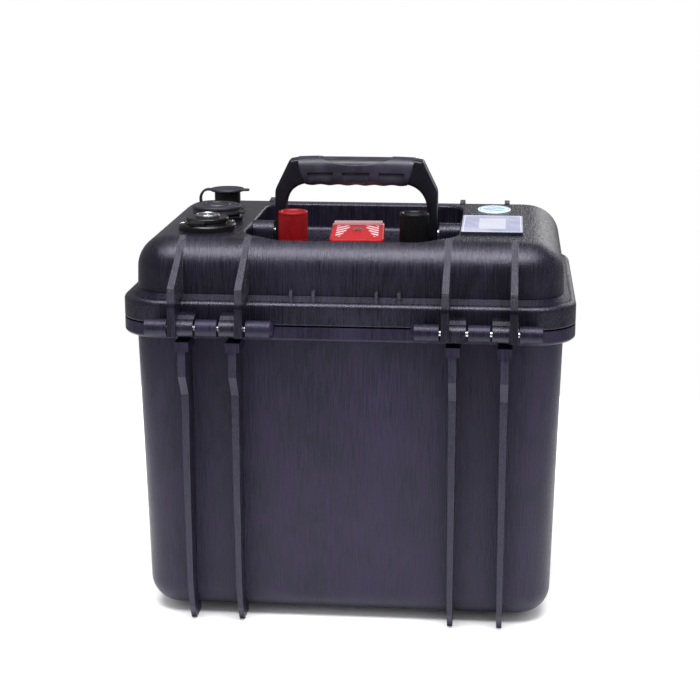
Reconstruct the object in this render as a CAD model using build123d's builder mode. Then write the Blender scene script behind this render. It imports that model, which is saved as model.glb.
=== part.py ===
from build123d import *
import os
from math import cos, radians, sin

# Battery pack in a waterproof hard case.
# Millimetres, +Z up, origin on the floor under the middle of the case.
# The hinge side faces -Y, the latch side faces +Y, and the lid opens about an axis along X.

# ---- driving dimensions: the case
FLANGE_WIDTH = 330.0
FLANGE_DEPTH = 230.0
FLANGE_CORNER = 33.0
REACH = 139.2  # furthest point in front and behind: lid ribs and latches
PARTING = 229.1  # height of the joint between lid and tub
LID_RISE = 59.0  # lid top above the parting
WALL = 4.5
TUB_FLANGE = 11.0  # thickness of the tub's flange
LID_FLANGE = 17.0  # thickness of the lid's flange
PARTING_GAP = 0.5  # half of the gap between the two flanges
TUB_TOP_HALF = (156.5, 106.5)
TUB_BASE_HALF = (151.5, 101.5)
TUB_CORNER = 26.0
TUB_BASE = 4.5  # the tub's floor stands this high on its plinth and rib feet
TUB_ROUND = 20.0
LID_HALF = (156.6, 106.2)
LID_TOP_HALF = (155.2, 104.8)
LID_CORNER = 30.0
LID_ROUND = 24.0

# ---- driving dimensions: the lid's well, hinges and ribs
WELL_HALF_WIDTH = 79.0
WELL_REAR = -87.0
WELL_FRONT = 73.0
WELL_DEPTH = 22.0
WELL_REAR_CORNER = 34.0  # on the hinge side
WELL_FRONT_CORNER = 17.0
WELL_WALL = 3.5
HINGE_Y = -131.0
HINGE_Z = PARTING + 1.0
KNUCKLE_RADIUS = 6.35
HINGE_PIN_RADIUS = 2.0
RUNNING = 0.05  # radial clearance of a pin that something turns on
CONE = 2.4  # length of the chamfered end of the innermost knuckle
TUB_KNUCKLES = ((50.9, 68.1), (88.7, 103.9), (124.6, 140.3))  # spans along X, mirrored
LID_KNUCKLES = ((70.0, 87.0), (105.5, 123.6))
REAR_LID_RIBS = (72.6, 120.2)
REAR_TUB_RIBS = (78.0, 114.5)
FRONT_RIBS = (78.0, 114.0)
LATCH_CENTRE = 96.0

# ---- driving dimensions: handle, terminals, sockets, display
HANDLE_Y = -12.0
HANDLE_Z = PARTING + 51.0
HANDLE_TOP = PARTING + 109.0
HANDLE_HALF = 61.7
HANDLE_SHOULDER = PARTING + 85.0  # where the legs' outer faces lean in
HANDLE_LEG = 8.2
HANDLE_DEPTH = 18.0
HANDLE_PIN_RADIUS = 3.0
TERMINALS = ((-45.4, -40.0), (45.4, -40.0))  # positive, negative
KNOB_RADIUS = 11.0
STUD_RADIUS = 4.0
CHARGE_SOCKET = (-108.0, -53.0)
USB_SOCKET = (-108.0, -10.0)
AUX_SOCKET = (-107.0, 35.0)
DISPLAY_CENTRE = (103.2, -23.2)
BADGE_CENTRE = (103.8, 53.0)

# ---- driving dimensions: the cells
CELL_SIZE = (71.7, 174.0, 204.0)
CELL_PITCH = 72.5
CELL_BASE = 20.0
POST_REACH = 62.0  # posts in front of and behind the cell's middle

LID_TOP = PARTING + LID_RISE
WELL_FLOOR = LID_TOP - WELL_DEPTH
TUB_RIM = PARTING - PARTING_GAP
LID_RIM = PARTING + PARTING_GAP
CELL_TOP = CELL_BASE + CELL_SIZE[2]
REAR_FACE = -FLANGE_DEPTH / 2

os.makedirs("parts", exist_ok=True)


def save(piece, name):
    """Labels a finished piece and writes it as one STEP file."""
    piece.label = name
    export_step(piece, f"parts/{name}.step")


def rounded(width, depth, corner, height, centre=(0, 0)):
    """A rounded rectangle lying flat at the given height."""
    with BuildSketch(Plane.XY.offset(height)) as outline:
        with Locations(centre):
            RectangleRounded(width, depth, corner)
    return outline.sketch


def disc(radius, height, centre=(0, 0)):
    """A circle lying flat at the given height."""
    with BuildSketch(Plane.XY.offset(height)) as outline:
        with Locations(centre):
            Circle(radius)
    return outline.sketch


def hexagon(across_corners, height, centre=(0, 0)):
    """A hexagon lying flat at the given height."""
    with BuildSketch(Plane.XY.offset(height)) as outline:
        with Locations(centre):
            RegularPolygon(across_corners / 2, 6)
    return outline.sketch


def side_face(points, x):
    """A polygon seen from the side, from its (y, z) points, standing at x."""
    with BuildSketch(Plane.YZ.offset(x)) as outline:
        with BuildLine():
            Polyline(*points, close=True)
        make_face()
    return outline.sketch


def end_disc(radius, x, y, z):
    """A circle standing at x and facing along X."""
    with BuildSketch(Plane.YZ.offset(x)) as outline:
        with Locations((y, z)):
            Circle(radius)
    return outline.sketch


def front_face(points, y):
    """A polygon seen from the hinge side, from its (x, z) points, standing at y."""
    with BuildSketch(Plane.XZ.offset(-y)) as outline:
        with BuildLine():
            Polyline(*points, close=True)
        make_face()
    return outline.sketch


def blade(x, outline, low, high):
    """A rib: its side outline, with its thickness going from low = (z, width) to high = (z, width)."""
    (z_low, width_low), (z_high, width_high) = low, high
    taper = [
        (x - width_low / 2, z_low),
        (x + width_low / 2, z_low),
        (x + width_high / 2, z_high),
        (x - width_high / 2, z_high),
    ]
    with BuildPart() as rib:
        extrude(side_face(outline, x), amount=width_low, both=True)
        extrude(front_face(taper, 0), amount=2 * REACH, both=True, mode=Mode.INTERSECT)
    return rib.part


def spun(profile, centre=(0, 0)):
    """A turned piece: (radius, z) points going round a vertical axis at the centre."""
    plane = Plane(origin=(centre[0], centre[1], 0), x_dir=(1, 0, 0), z_dir=(0, -1, 0))
    with BuildPart() as turned:
        with BuildSketch(plane):
            with BuildLine():
                Polyline(*profile, close=True)
            make_face()
        revolve(axis=Axis((centre[0], centre[1], 0), (0, 0, 1)))
    return turned.part


def well_outline(grow, height):
    """The well's outline, grown all round: wide corners on the hinge side, tighter ones in front."""
    with BuildSketch(Plane.XY.offset(height)) as outline:
        with Locations((0, (WELL_FRONT + WELL_REAR) / 2)):
            Rectangle(2 * (WELL_HALF_WIDTH + grow), WELL_FRONT - WELL_REAR + 2 * grow)
        fillet(outline.vertices().group_by(Axis.Y)[0], radius=WELL_REAR_CORNER + grow)
        fillet(outline.vertices().group_by(Axis.Y)[-1], radius=WELL_FRONT_CORNER + grow)
    return outline.sketch


# ======== case tub
RIB_WIDTH = 5.7
STOP_TOP = PARTING - 9.0
STOP_BASE = PARTING - 16.0
STOP_WIDTH = 10.2
STOP_FACE = REAR_FACE - 18.0
REAR_TUB_RIB = (
    (-106.0, STOP_BASE + 1.0),
    (STOP_FACE, STOP_BASE + 1.0),
    (-134.5, PARTING - 34.0),
    (-123.4, PARTING - 50.0),
    (-123.0, PARTING - 118.0),
    (-119.0, PARTING - 197.0),
    (-114.5, 12.0),
    (-106.0, 0.0),
    (-88.0, 0.0),
    (-88.0, 8.0),
    (-96.0, 15.0),
    (-99.5, 26.0),
)
FRONT_TUB_RIB = tuple((-y if y > -130.0 else 124.0, z) for y, z in REAR_TUB_RIB)
CATCH_LOW = PARTING - 21.0
CATCH_HIGH = PARTING - TUB_FLANGE + 1.0

with BuildPart() as tub_hollow:
    inner_base = rounded(
        2 * (TUB_BASE_HALF[0] - WALL), 2 * (TUB_BASE_HALF[1] - WALL), TUB_CORNER - WALL, TUB_BASE + WALL
    )
    inner_top = rounded(
        2 * (TUB_TOP_HALF[0] - WALL), 2 * (TUB_TOP_HALF[1] - WALL), TUB_CORNER - WALL, PARTING + 5.0
    )
    loft(sections=[inner_base, inner_top])
    fillet(tub_hollow.edges().group_by(Axis.Z)[0], radius=TUB_ROUND - WALL)

with BuildPart() as case_tub:
    outer_base = rounded(2 * TUB_BASE_HALF[0], 2 * TUB_BASE_HALF[1], TUB_CORNER, TUB_BASE)
    outer_top = rounded(2 * TUB_TOP_HALF[0], 2 * TUB_TOP_HALF[1], TUB_CORNER, TUB_RIM - 2.0)
    loft(sections=[outer_base, outer_top])
    fillet(case_tub.edges().group_by(Axis.Z)[0], radius=TUB_ROUND)
    # flange, with its lower edge rounded and a small round at the parting
    extrude(
        rounded(FLANGE_WIDTH, FLANGE_DEPTH, FLANGE_CORNER, PARTING - TUB_FLANGE),
        amount=TUB_FLANGE - PARTING_GAP,
    )
    under_flange = PARTING - TUB_FLANGE
    flange_low = case_tub.edges().filter_by_position(Axis.Z, under_flange - 0.1, under_flange + 0.1)
    flange_sides = flange_low.filter_by(
        lambda edge: abs(edge.center().X) > 0.485 * FLANGE_WIDTH
        or abs(edge.center().Y) > 0.485 * FLANGE_DEPTH
        or edge.geom_type == GeomType.CIRCLE
        and edge.radius > FLANGE_CORNER - 1.0
    )
    fillet(flange_sides, radius=2.5)
    # sealing tongue round the rim
    extrude(rounded(318.0, 218.0, 27.0, TUB_RIM - 0.5), amount=3.4)
    extrude(rounded(312.0, 212.0, 24.0, TUB_RIM), amount=4.0, mode=Mode.SUBTRACT)
    # raised plinth under the floor, on which the case stands
    extrude(rounded(250.0, 150.0, 20.0, 0.0), amount=TUB_BASE + 2.0)
    for side in (-1, 1):
        for x in REAR_TUB_RIBS:
            add(blade(side * x, REAR_TUB_RIB, (0.0, 4.0), (PARTING - 14.0, RIB_WIDTH)))
            stop = [
                (-104.0, STOP_TOP),
                (STOP_FACE, STOP_TOP),
                (STOP_FACE, STOP_BASE),
                (-104.0, STOP_BASE),
            ]
            extrude(side_face(stop, side * x), amount=STOP_WIDTH / 2, both=True)
        for x in FRONT_RIBS:
            add(blade(side * x, FRONT_TUB_RIB, (0.0, 4.0), (PARTING - 14.0, RIB_WIDTH)))
            gusset = [
                (104.0, STOP_BASE),
                (124.0, STOP_BASE),
                (124.0, CATCH_HIGH),
                (104.0, CATCH_HIGH),
            ]
            extrude(side_face(gusset, side * x), amount=RIB_WIDTH / 2, both=True)
        # catch bar that the latch's claw holds
        catch = [(104.0, CATCH_LOW), (125.0, CATCH_LOW), (125.0, CATCH_HIGH), (104.0, CATCH_HIGH)]
        extrude(side_face(catch, side * LATCH_CENTRE), amount=16.0, both=True)
        # faint thickened panel between the two rear ribs
        panel = [(-104.0, 192.0), (-106.6, 192.0), (-107.2, 217.0), (-104.0, 217.0)]
        extrude(side_face(panel, side * 96.2), amount=16.0, both=True)
        closed_end = side * TUB_KNUCKLES[0][0]
        cone_tip = end_disc(KNUCKLE_RADIUS - CONE, closed_end - side * CONE, HINGE_Y, HINGE_Z)
        loft(sections=[cone_tip, end_disc(KNUCKLE_RADIUS, closed_end, HINGE_Y, HINGE_Z)])
        for inner, outer in TUB_KNUCKLES:
            start = inner if side > 0 else -outer
            extrude(end_disc(KNUCKLE_RADIUS, start, HINGE_Y, HINGE_Z), amount=outer - inner)
            neck = [
                (HINGE_Y, HINGE_Z - KNUCKLE_RADIUS + 0.2),
                (REAR_FACE + 2.0, PARTING - TUB_FLANGE + 3.0),
                (REAR_FACE + 2.0, TUB_RIM),
                (HINGE_Y, TUB_RIM),
            ]
            extrude(side_face(neck, start), amount=outer - inner)
    for side in (-1, 1):
        start = 53.0 if side > 0 else -150.0
        extrude(end_disc(HINGE_PIN_RADIUS, start, HINGE_Y, HINGE_Z), amount=97.0, mode=Mode.SUBTRACT)
    add(tub_hollow.part, mode=Mode.SUBTRACT)
save(case_tub.part, "case_tub")

# ======== hinge pins
with BuildPart() as hinge_pins:
    for start in (-139.0, 53.2):
        extrude(end_disc(HINGE_PIN_RADIUS, start, HINGE_Y, HINGE_Z), amount=85.8)
save(hinge_pins.part, "hinge_pins")

# ======== lid shell
KNEE = PARTING + 30.8
REAR_LID_RIB = (
    (-REACH, PARTING - 4.0),
    (-REACH + 0.8, KNEE),
    (-86.0, LID_TOP + 1.0),
    (-80.0, LID_TOP + 0.4),
    (-80.0, LID_TOP - 3.0),
    (-98.0, LID_TOP - 20.0),
    (-103.0, PARTING + 22.0),
    (-103.0, LID_RIM + 1.0),
    (REAR_FACE - 3.0, LID_RIM + 1.0),
    (-125.0, PARTING - 4.0),
)
FRONT_LID_RIB = (
    (136.0, LID_RIM + 1.0),
    (136.0, PARTING + 32.0),
    (93.0, LID_TOP + 1.6),
    (80.0, LID_TOP + 0.4),
    (80.0, LID_TOP - 3.0),
    (98.0, LID_TOP - 20.0),
    (103.0, PARTING + 22.0),
    (103.0, LID_RIM + 1.0),
)
LATCH_Y = 127.0
LATCH_Z = PARTING + 25.0
LATCH_PIN_RADIUS = 2.0
NUBS = (38.7, 22.5)
BOSS_RADIUS = 8.0
BOSS_INNER = 63.0
CHARGE_HOLE = 14.6
USB_HOLE = 14.6
AUX_HOLE = 9.2
STUD_HOLE = 7.1
DISPLAY_HOLE = (37.0, 64.0)

with BuildPart() as lid_hollow:
    hollow_low = rounded(
        2 * (LID_HALF[0] - WALL),
        2 * (LID_HALF[1] - WALL),
        LID_CORNER - WALL,
        PARTING - 5.0,
    )
    hollow_high = rounded(
        2 * (LID_TOP_HALF[0] - WALL),
        2 * (LID_TOP_HALF[1] - WALL),
        LID_CORNER - WALL,
        LID_TOP - WALL + 0.5,
    )
    loft(sections=[hollow_low, hollow_high])
    fillet(lid_hollow.edges().group_by(Axis.Z)[-1], radius=LID_ROUND - WALL)
    # the well's walls and floor stay
    extrude(well_outline(WELL_WALL, WELL_FLOOR - WELL_WALL), amount=60.0, mode=Mode.SUBTRACT)

with BuildPart() as well_space:
    extrude(well_outline(0.0, WELL_FLOOR), amount=WELL_DEPTH + 8.0)
    fillet(well_space.edges().group_by(Axis.Z)[0], radius=4.0)

with BuildPart() as lid_flange:
    extrude(rounded(FLANGE_WIDTH, FLANGE_DEPTH, FLANGE_CORNER, LID_RIM), amount=LID_FLANGE - PARTING_GAP)
    fillet(lid_flange.edges().group_by(Axis.Z)[-1], radius=4.0)
    fillet(lid_flange.edges().group_by(Axis.Z)[0], radius=1.0)

with BuildPart() as lid_shell:
    body_low = rounded(2 * LID_HALF[0], 2 * LID_HALF[1], LID_CORNER, LID_RIM + 2.0)
    body_high = rounded(2 * LID_TOP_HALF[0], 2 * LID_TOP_HALF[1], LID_CORNER, LID_TOP)
    loft(sections=[body_low, body_high])
    fillet(lid_shell.edges().group_by(Axis.Z)[-1], radius=LID_ROUND)
    add(lid_flange.part)
    # well in the top, with a rounded rim
    add(well_space.part, mode=Mode.SUBTRACT)
    rim = lid_shell.edges().filter_by(
        lambda e: e.center().Z > LID_TOP - 2.0
        and abs(e.center().X) < WELL_HALF_WIDTH + 0.5
        and WELL_REAR - 1.0 < e.center().Y < WELL_FRONT + 1.0
    )
    fillet(rim, radius=2.2)
    # sloping fillet between the ledge and the wall
    skirt_low = rounded(
        2 * LID_HALF[0] + 8.0,
        2 * LID_HALF[1] + 8.0,
        LID_CORNER + 2.0,
        PARTING + LID_FLANGE - 0.2,
    )
    skirt_high = rounded(
        2 * LID_HALF[0] - 1.0,
        2 * LID_HALF[1] - 1.0,
        LID_CORNER,
        PARTING + LID_FLANGE + 3.5,
    )
    loft(sections=[skirt_low, skirt_high])
    for side in (-1, 1):
        for x in REAR_LID_RIBS:
            add(blade(side * x, REAR_LID_RIB, (PARTING - 5.0, 6.2), (LID_TOP + 2.0, 4.0)))
        for x in FRONT_RIBS:
            add(blade(side * x, FRONT_LID_RIB, (PARTING, 5.6), (LID_TOP + 3.0, 4.0)))
        for x in NUBS:
            nub = [
                (-112.0, PARTING + 15.0),
                (-110.5, PARTING + 24.0),
                (-104.0, PARTING + 26.0),
                (-104.0, PARTING + 15.0),
            ]
            extrude(side_face(nub, side * x), amount=1.1, both=True)
        for inner, outer in LID_KNUCKLES:
            start = inner if side > 0 else -outer
            extrude(end_disc(KNUCKLE_RADIUS, start, HINGE_Y, HINGE_Z), amount=outer - inner)
            block = [
                (HINGE_Y - KNUCKLE_RADIUS, HINGE_Z),
                (HINGE_Y - KNUCKLE_RADIUS, HINGE_Z - 5.4),
                (HINGE_Y + 2.0, HINGE_Z - 5.4),
                (HINGE_Y + 6.0, LID_RIM + 0.3),
                (REAR_FACE + 2.0, LID_RIM + 0.3),
                (REAR_FACE + 2.0, PARTING + 9.5),
                (HINGE_Y + 4.0, PARTING + 9.5),
                (HINGE_Y, HINGE_Z + KNUCKLE_RADIUS - 0.4),
            ]
            extrude(side_face(block, start), amount=outer - inner)
    # sealing groove in the underside of the flange
    extrude(rounded(320.0, 220.0, 28.0, LID_RIM - 2.0), amount=8.3, mode=Mode.SUBTRACT)
    extrude(rounded(310.0, 210.0, 23.0, LID_RIM), amount=8.0)
    add(lid_hollow.part, mode=Mode.SUBTRACT)
    add(well_space.part, mode=Mode.SUBTRACT)
    for side in (-1, 1):
        # pillar with a round top that holds the handle's pin
        pillar = [
            (HANDLE_Y - BOSS_RADIUS, WELL_FLOOR - 1.0),
            (HANDLE_Y + BOSS_RADIUS, WELL_FLOOR - 1.0),
            (HANDLE_Y + BOSS_RADIUS, HANDLE_Z),
            (HANDLE_Y - BOSS_RADIUS, HANDLE_Z),
        ]
        start = BOSS_INNER if side > 0 else -WELL_HALF_WIDTH - 1.0
        extrude(side_face(pillar, start), amount=WELL_HALF_WIDTH + 1.0 - BOSS_INNER)
        extrude(end_disc(BOSS_RADIUS, start, HANDLE_Y, HANDLE_Z), amount=WELL_HALF_WIDTH + 1.0 - BOSS_INNER)
        pin_start = 50.0 if side > 0 else -80.0
        extrude(end_disc(HANDLE_PIN_RADIUS, pin_start, HANDLE_Y, HANDLE_Z), amount=30.0, mode=Mode.SUBTRACT)
        # pin holes of hinges and latches
        start = 60.0 if side > 0 else -150.0
        extrude(
            end_disc(HINGE_PIN_RADIUS + RUNNING, start, HINGE_Y, HINGE_Z), amount=90.0, mode=Mode.SUBTRACT
        )
        start = 74.0 if side > 0 else -118.0
        extrude(end_disc(LATCH_PIN_RADIUS, start, LATCH_Y, LATCH_Z), amount=44.0, mode=Mode.SUBTRACT)
    for centre, radius in ((CHARGE_SOCKET, CHARGE_HOLE), (USB_SOCKET, USB_HOLE), (AUX_SOCKET, AUX_HOLE)):
        extrude(disc(radius, LID_TOP - 10.0, centre), amount=12.0, mode=Mode.SUBTRACT)
    for centre in TERMINALS:
        extrude(disc(STUD_HOLE, WELL_FLOOR - 6.0, centre), amount=8.0, mode=Mode.SUBTRACT)
    extrude(
        rounded(DISPLAY_HOLE[0], DISPLAY_HOLE[1], 1.5, LID_TOP - 10.0, DISPLAY_CENTRE),
        amount=12.0,
        mode=Mode.SUBTRACT,
    )
save(lid_shell.part, "lid_shell")

# ======== lid gasket
with BuildPart() as lid_gasket:
    extrude(rounded(319.6, 219.6, 27.8, TUB_RIM + 3.0), amount=4.2)
    extrude(rounded(310.4, 210.4, 23.2, TUB_RIM + 2.0), amount=6.0, mode=Mode.SUBTRACT)
save(lid_gasket.part, "lid_gasket")

# ======== latches: one lever each, turning on a steel pin between the lid's front ribs
LATCH_HALF = 14.6
LATCH_FACE = REACH
LATCH_OUTLINE = (
    (LATCH_Y + 6.0, LATCH_Z + 7.0),
    (LATCH_FACE - 1.5, LATCH_Z + 7.0),
    (LATCH_FACE, LATCH_Z + 4.0),
    (LATCH_FACE, PARTING - 30.0),
    (LATCH_FACE - 2.0, PARTING - 41.0),
    (132.5, PARTING - 41.0),
    (133.5, PARTING - 29.0),
    (119.5, PARTING - 29.0),
    (119.5, PARTING - 21.6),
    (131.0, PARTING - 21.4),
    (134.5, PARTING - 16.0),
    (134.5, LATCH_Z - 8.0),
    (LATCH_Y, LATCH_Z - 6.0),
    (LATCH_Y, LATCH_Z + 6.0),
)
for side, name in ((-1, "latch_left"), (1, "latch_right")):
    with BuildPart() as latch:
        extrude(side_face(LATCH_OUTLINE, side * LATCH_CENTRE), amount=LATCH_HALF, both=True)
        for grip in range(4):
            groove_z = PARTING - 39.0 + 4.0 * grip
            groove = [
                (LATCH_FACE - 0.8, groove_z),
                (LATCH_FACE + 1.0, groove_z - 0.8),
                (LATCH_FACE + 1.0, groove_z + 0.8),
            ]
            extrude(side_face(groove, side * LATCH_CENTRE), amount=11.0, both=True, mode=Mode.SUBTRACT)
        low_x = side * LATCH_CENTRE - LATCH_HALF
        extrude(end_disc(6.0, low_x, LATCH_Y, LATCH_Z), amount=2 * LATCH_HALF)
        pin_hole = end_disc(LATCH_PIN_RADIUS + RUNNING, low_x, LATCH_Y, LATCH_Z)
        extrude(pin_hole, amount=2 * LATCH_HALF, mode=Mode.SUBTRACT)
    save(latch.part, name)
with BuildPart() as latch_pins:
    for side in (-1, 1):
        start = side * LATCH_CENTRE - 20.0
        extrude(end_disc(LATCH_PIN_RADIUS, start, LATCH_Y, LATCH_Z), amount=40.0)
save(latch_pins.part, "latch_pins")

# ======== handle: a rigid bow with a soft grip moulded round its bar
GRIP_DEPTH = 22.0
GRIP_LOW = PARTING + 87.0
CORE_LOW = PARTING + 92.0
CORE_HIGH = PARTING + 103.5
CORE_DEPTH = 11.0
grip_outline = [
    (-45.6, HANDLE_TOP - 0.8),
    (-30.0, HANDLE_TOP),
    (30.0, HANDLE_TOP),
    (45.6, HANDLE_TOP - 0.8),
    (39.4, GRIP_LOW + 2.0),
    (20.0, GRIP_LOW),
    (-20.0, GRIP_LOW),
    (-39.4, GRIP_LOW + 2.0),
]
with BuildPart() as handle_frame:
    with BuildSketch(Plane.XZ.offset(-HANDLE_Y)) as bow:
        with BuildLine():
            start = Line((-HANDLE_HALF, HANDLE_Z), (-HANDLE_HALF, HANDLE_SHOULDER))
            Polyline(
                start @ 1,
                (-50.6, HANDLE_TOP - 2.2),
                (-45.0, HANDLE_TOP - 1.2),
                (45.0, HANDLE_TOP - 1.2),
                (50.6, HANDLE_TOP - 2.2),
                (HANDLE_HALF, HANDLE_SHOULDER),
                (HANDLE_HALF, HANDLE_Z),
                (HANDLE_HALF - HANDLE_LEG, HANDLE_Z),
                (HANDLE_HALF - HANDLE_LEG, PARTING + 70.0),
            )
            RadiusArc((HANDLE_HALF - HANDLE_LEG, PARTING + 70.0), (36.0, GRIP_LOW + 1.0), -19.0)
            Line((36.0, GRIP_LOW + 1.0), (-36.0, GRIP_LOW + 1.0))
            RadiusArc((-36.0, GRIP_LOW + 1.0), (-HANDLE_HALF + HANDLE_LEG, PARTING + 70.0), -19.0)
            Polyline(
                (-HANDLE_HALF + HANDLE_LEG, PARTING + 70.0),
                (-HANDLE_HALF + HANDLE_LEG, HANDLE_Z),
                (-HANDLE_HALF, HANDLE_Z),
            )
        make_face()
    extrude(amount=HANDLE_DEPTH / 2, both=True)
    extrude(front_face(grip_outline, HANDLE_Y), amount=HANDLE_DEPTH, both=True, mode=Mode.SUBTRACT)
    core = [(-46.0, CORE_LOW), (46.0, CORE_LOW), (46.0, CORE_HIGH), (-46.0, CORE_HIGH)]
    extrude(front_face(core, HANDLE_Y), amount=CORE_DEPTH / 2, both=True)
    for side in (-1, 1):
        low_x = min(side * HANDLE_HALF, side * (HANDLE_HALF - HANDLE_LEG))
        extrude(end_disc(HANDLE_DEPTH / 2, low_x, HANDLE_Y, HANDLE_Z), amount=HANDLE_LEG)
        extrude(
            end_disc(HANDLE_PIN_RADIUS + RUNNING, low_x - 1.0, HANDLE_Y, HANDLE_Z),
            amount=HANDLE_LEG + 2.0,
            mode=Mode.SUBTRACT,
        )
save(handle_frame.part, "handle_frame")

with BuildPart() as handle_grip:
    extrude(front_face(grip_outline, HANDLE_Y), amount=GRIP_DEPTH / 2, both=True)
    long_edges = handle_grip.edges().filter_by(
        lambda e: abs(e.center().Y - HANDLE_Y) > GRIP_DEPTH / 2 - 0.1 and abs(e.center().X) < 38.5
    )
    fillet(long_edges, radius=6.0)
    extrude(front_face(core, HANDLE_Y), amount=CORE_DEPTH / 2, both=True, mode=Mode.SUBTRACT)
save(handle_grip.part, "handle_grip")

with BuildPart() as handle_pins:
    for side in (-1, 1):
        start = 51.5 if side > 0 else -79.5
        extrude(end_disc(HANDLE_PIN_RADIUS, start, HANDLE_Y, HANDLE_Z), amount=28.0)
        start = 51.5 if side > 0 else -53.3
        extrude(end_disc(4.6, start, HANDLE_Y, HANDLE_Z), amount=1.8)
save(handle_pins.part, "handle_pins")

# ======== terminals: insulating base, stud, nut, captive washer and screw-down knob
BASE_TOP = WELL_FLOOR + 8.0
COLLAR_TOP = BASE_TOP + 2.0
STUD_TOP = PARTING + 65.0
STUD_END = PARTING + 20.5
KNOB_BASE = COLLAR_TOP + 1.8
KNOB_TOP = PARTING + 71.3
for (x, y), sign in zip(TERMINALS, ("positive", "negative")):
    base = (
        (STUD_RADIUS, WELL_FLOOR - WELL_WALL + 0.3),
        (STUD_HOLE, WELL_FLOOR - WELL_WALL + 0.3),
        (STUD_HOLE, WELL_FLOOR),
        (13.0, WELL_FLOOR),
        (13.0, BASE_TOP - 2.5),
        (11.5, BASE_TOP),
        (STUD_RADIUS, BASE_TOP),
    )
    save(spun(base, (x, y)), f"{sign}_terminal_base")
    stud = (
        (0.0, STUD_END),
        (STUD_RADIUS, STUD_END),
        (STUD_RADIUS, BASE_TOP),
        (9.5, BASE_TOP),
        (9.5, COLLAR_TOP),
        (STUD_RADIUS, COLLAR_TOP),
        (STUD_RADIUS, STUD_TOP - 1.0),
        (STUD_RADIUS - 1.0, STUD_TOP),
        (0.0, STUD_TOP),
    )
    save(spun(stud, (x, y)), f"{sign}_terminal_stud")
    washer = (
        (STUD_RADIUS + RUNNING, COLLAR_TOP + 0.1),
        (9.8, COLLAR_TOP + 0.1),
        (9.8, KNOB_BASE - 0.1),
        (STUD_RADIUS + RUNNING, KNOB_BASE - 0.1),
    )
    save(spun(washer, (x, y)), f"{sign}_knob_washer")
    knob = (
        (STUD_RADIUS + RUNNING, KNOB_BASE),
        (KNOB_RADIUS - 0.6, KNOB_BASE),
        (KNOB_RADIUS, KNOB_BASE + 0.8),
        (KNOB_RADIUS, KNOB_TOP - 1.5),
        (KNOB_RADIUS - 1.0, KNOB_TOP),
        (KNOB_RADIUS - 2.2, KNOB_TOP),
        (KNOB_RADIUS - 3.0, KNOB_TOP - 1.0),
        (0.0, KNOB_TOP - 1.4),
        (0.0, KNOB_TOP - 5.0),
        (STUD_RADIUS + RUNNING, KNOB_TOP - 5.0),
    )
    save(spun(knob, (x, y)), f"{sign}_knob")
with BuildPart() as stud_nuts:
    for centre in TERMINALS:
        extrude(disc(8.5, WELL_FLOOR - WELL_WALL - 1.6, centre), amount=1.6)
        extrude(hexagon(15.0, WELL_FLOOR - WELL_WALL - 8.1, centre), amount=6.5)
        extrude(disc(STUD_RADIUS, WELL_FLOOR - WELL_WALL - 9.0, centre), amount=10.0, mode=Mode.SUBTRACT)
save(stud_nuts.part, "stud_nuts")

# ======== fuse under its screwed cover, turned a few degrees in the well
FUSE_TURN = 3.5
FUSE_X_DIR = (cos(radians(FUSE_TURN)), sin(radians(FUSE_TURN)), 0)


def fuse_plane(height):
    """The turned plane of the fuse at a height."""
    return Plane(origin=(2.4, -32.5, height), x_dir=FUSE_X_DIR, z_dir=(0, 0, 1))


FUSE_COVER = (40.0, 75.0)
COVER_WALL = 1.8
COVER_TOP = PARTING + 55.8
FUSE_BASE_TOP = WELL_FLOOR + 7.0
FUSE_POST_REACH = 20.0
with BuildPart() as fuse_base:
    with BuildSketch(fuse_plane(WELL_FLOOR)):
        RectangleRounded(35.0, 70.0, 3.0)
    extrude(amount=7.0)
    with BuildSketch(fuse_plane(FUSE_BASE_TOP)):
        Circle(4.5)
    extrude(amount=COVER_TOP - COVER_WALL - FUSE_BASE_TOP - 0.1)
    with BuildSketch(fuse_plane(FUSE_BASE_TOP)):
        Circle(1.6)
    extrude(amount=COVER_TOP - FUSE_BASE_TOP, mode=Mode.SUBTRACT)
    with BuildSketch(fuse_plane(WELL_FLOOR + 2.0)):
        with Locations((0, -FUSE_POST_REACH), (0, FUSE_POST_REACH)):
            Circle(3.0)
    extrude(amount=10.0, mode=Mode.SUBTRACT)
save(fuse_base.part, "fuse_base")
with BuildPart() as fuse_posts:
    with BuildSketch(fuse_plane(WELL_FLOOR + 2.0)):
        with Locations((0, -FUSE_POST_REACH), (0, FUSE_POST_REACH)):
            Circle(3.0)
    extrude(amount=13.0)
save(fuse_posts.part, "fuse_posts")
with BuildPart() as fuse_link:
    with BuildSketch(fuse_plane(FUSE_BASE_TOP)):
        SlotCenterToCenter(2 * FUSE_POST_REACH, 13.0, rotation=90)
        with Locations((0, -FUSE_POST_REACH), (0, FUSE_POST_REACH)):
            Circle(3.0, mode=Mode.SUBTRACT)
        Circle(4.7, mode=Mode.SUBTRACT)
    extrude(amount=1.6)
save(fuse_link.part, "fuse_link")
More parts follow.
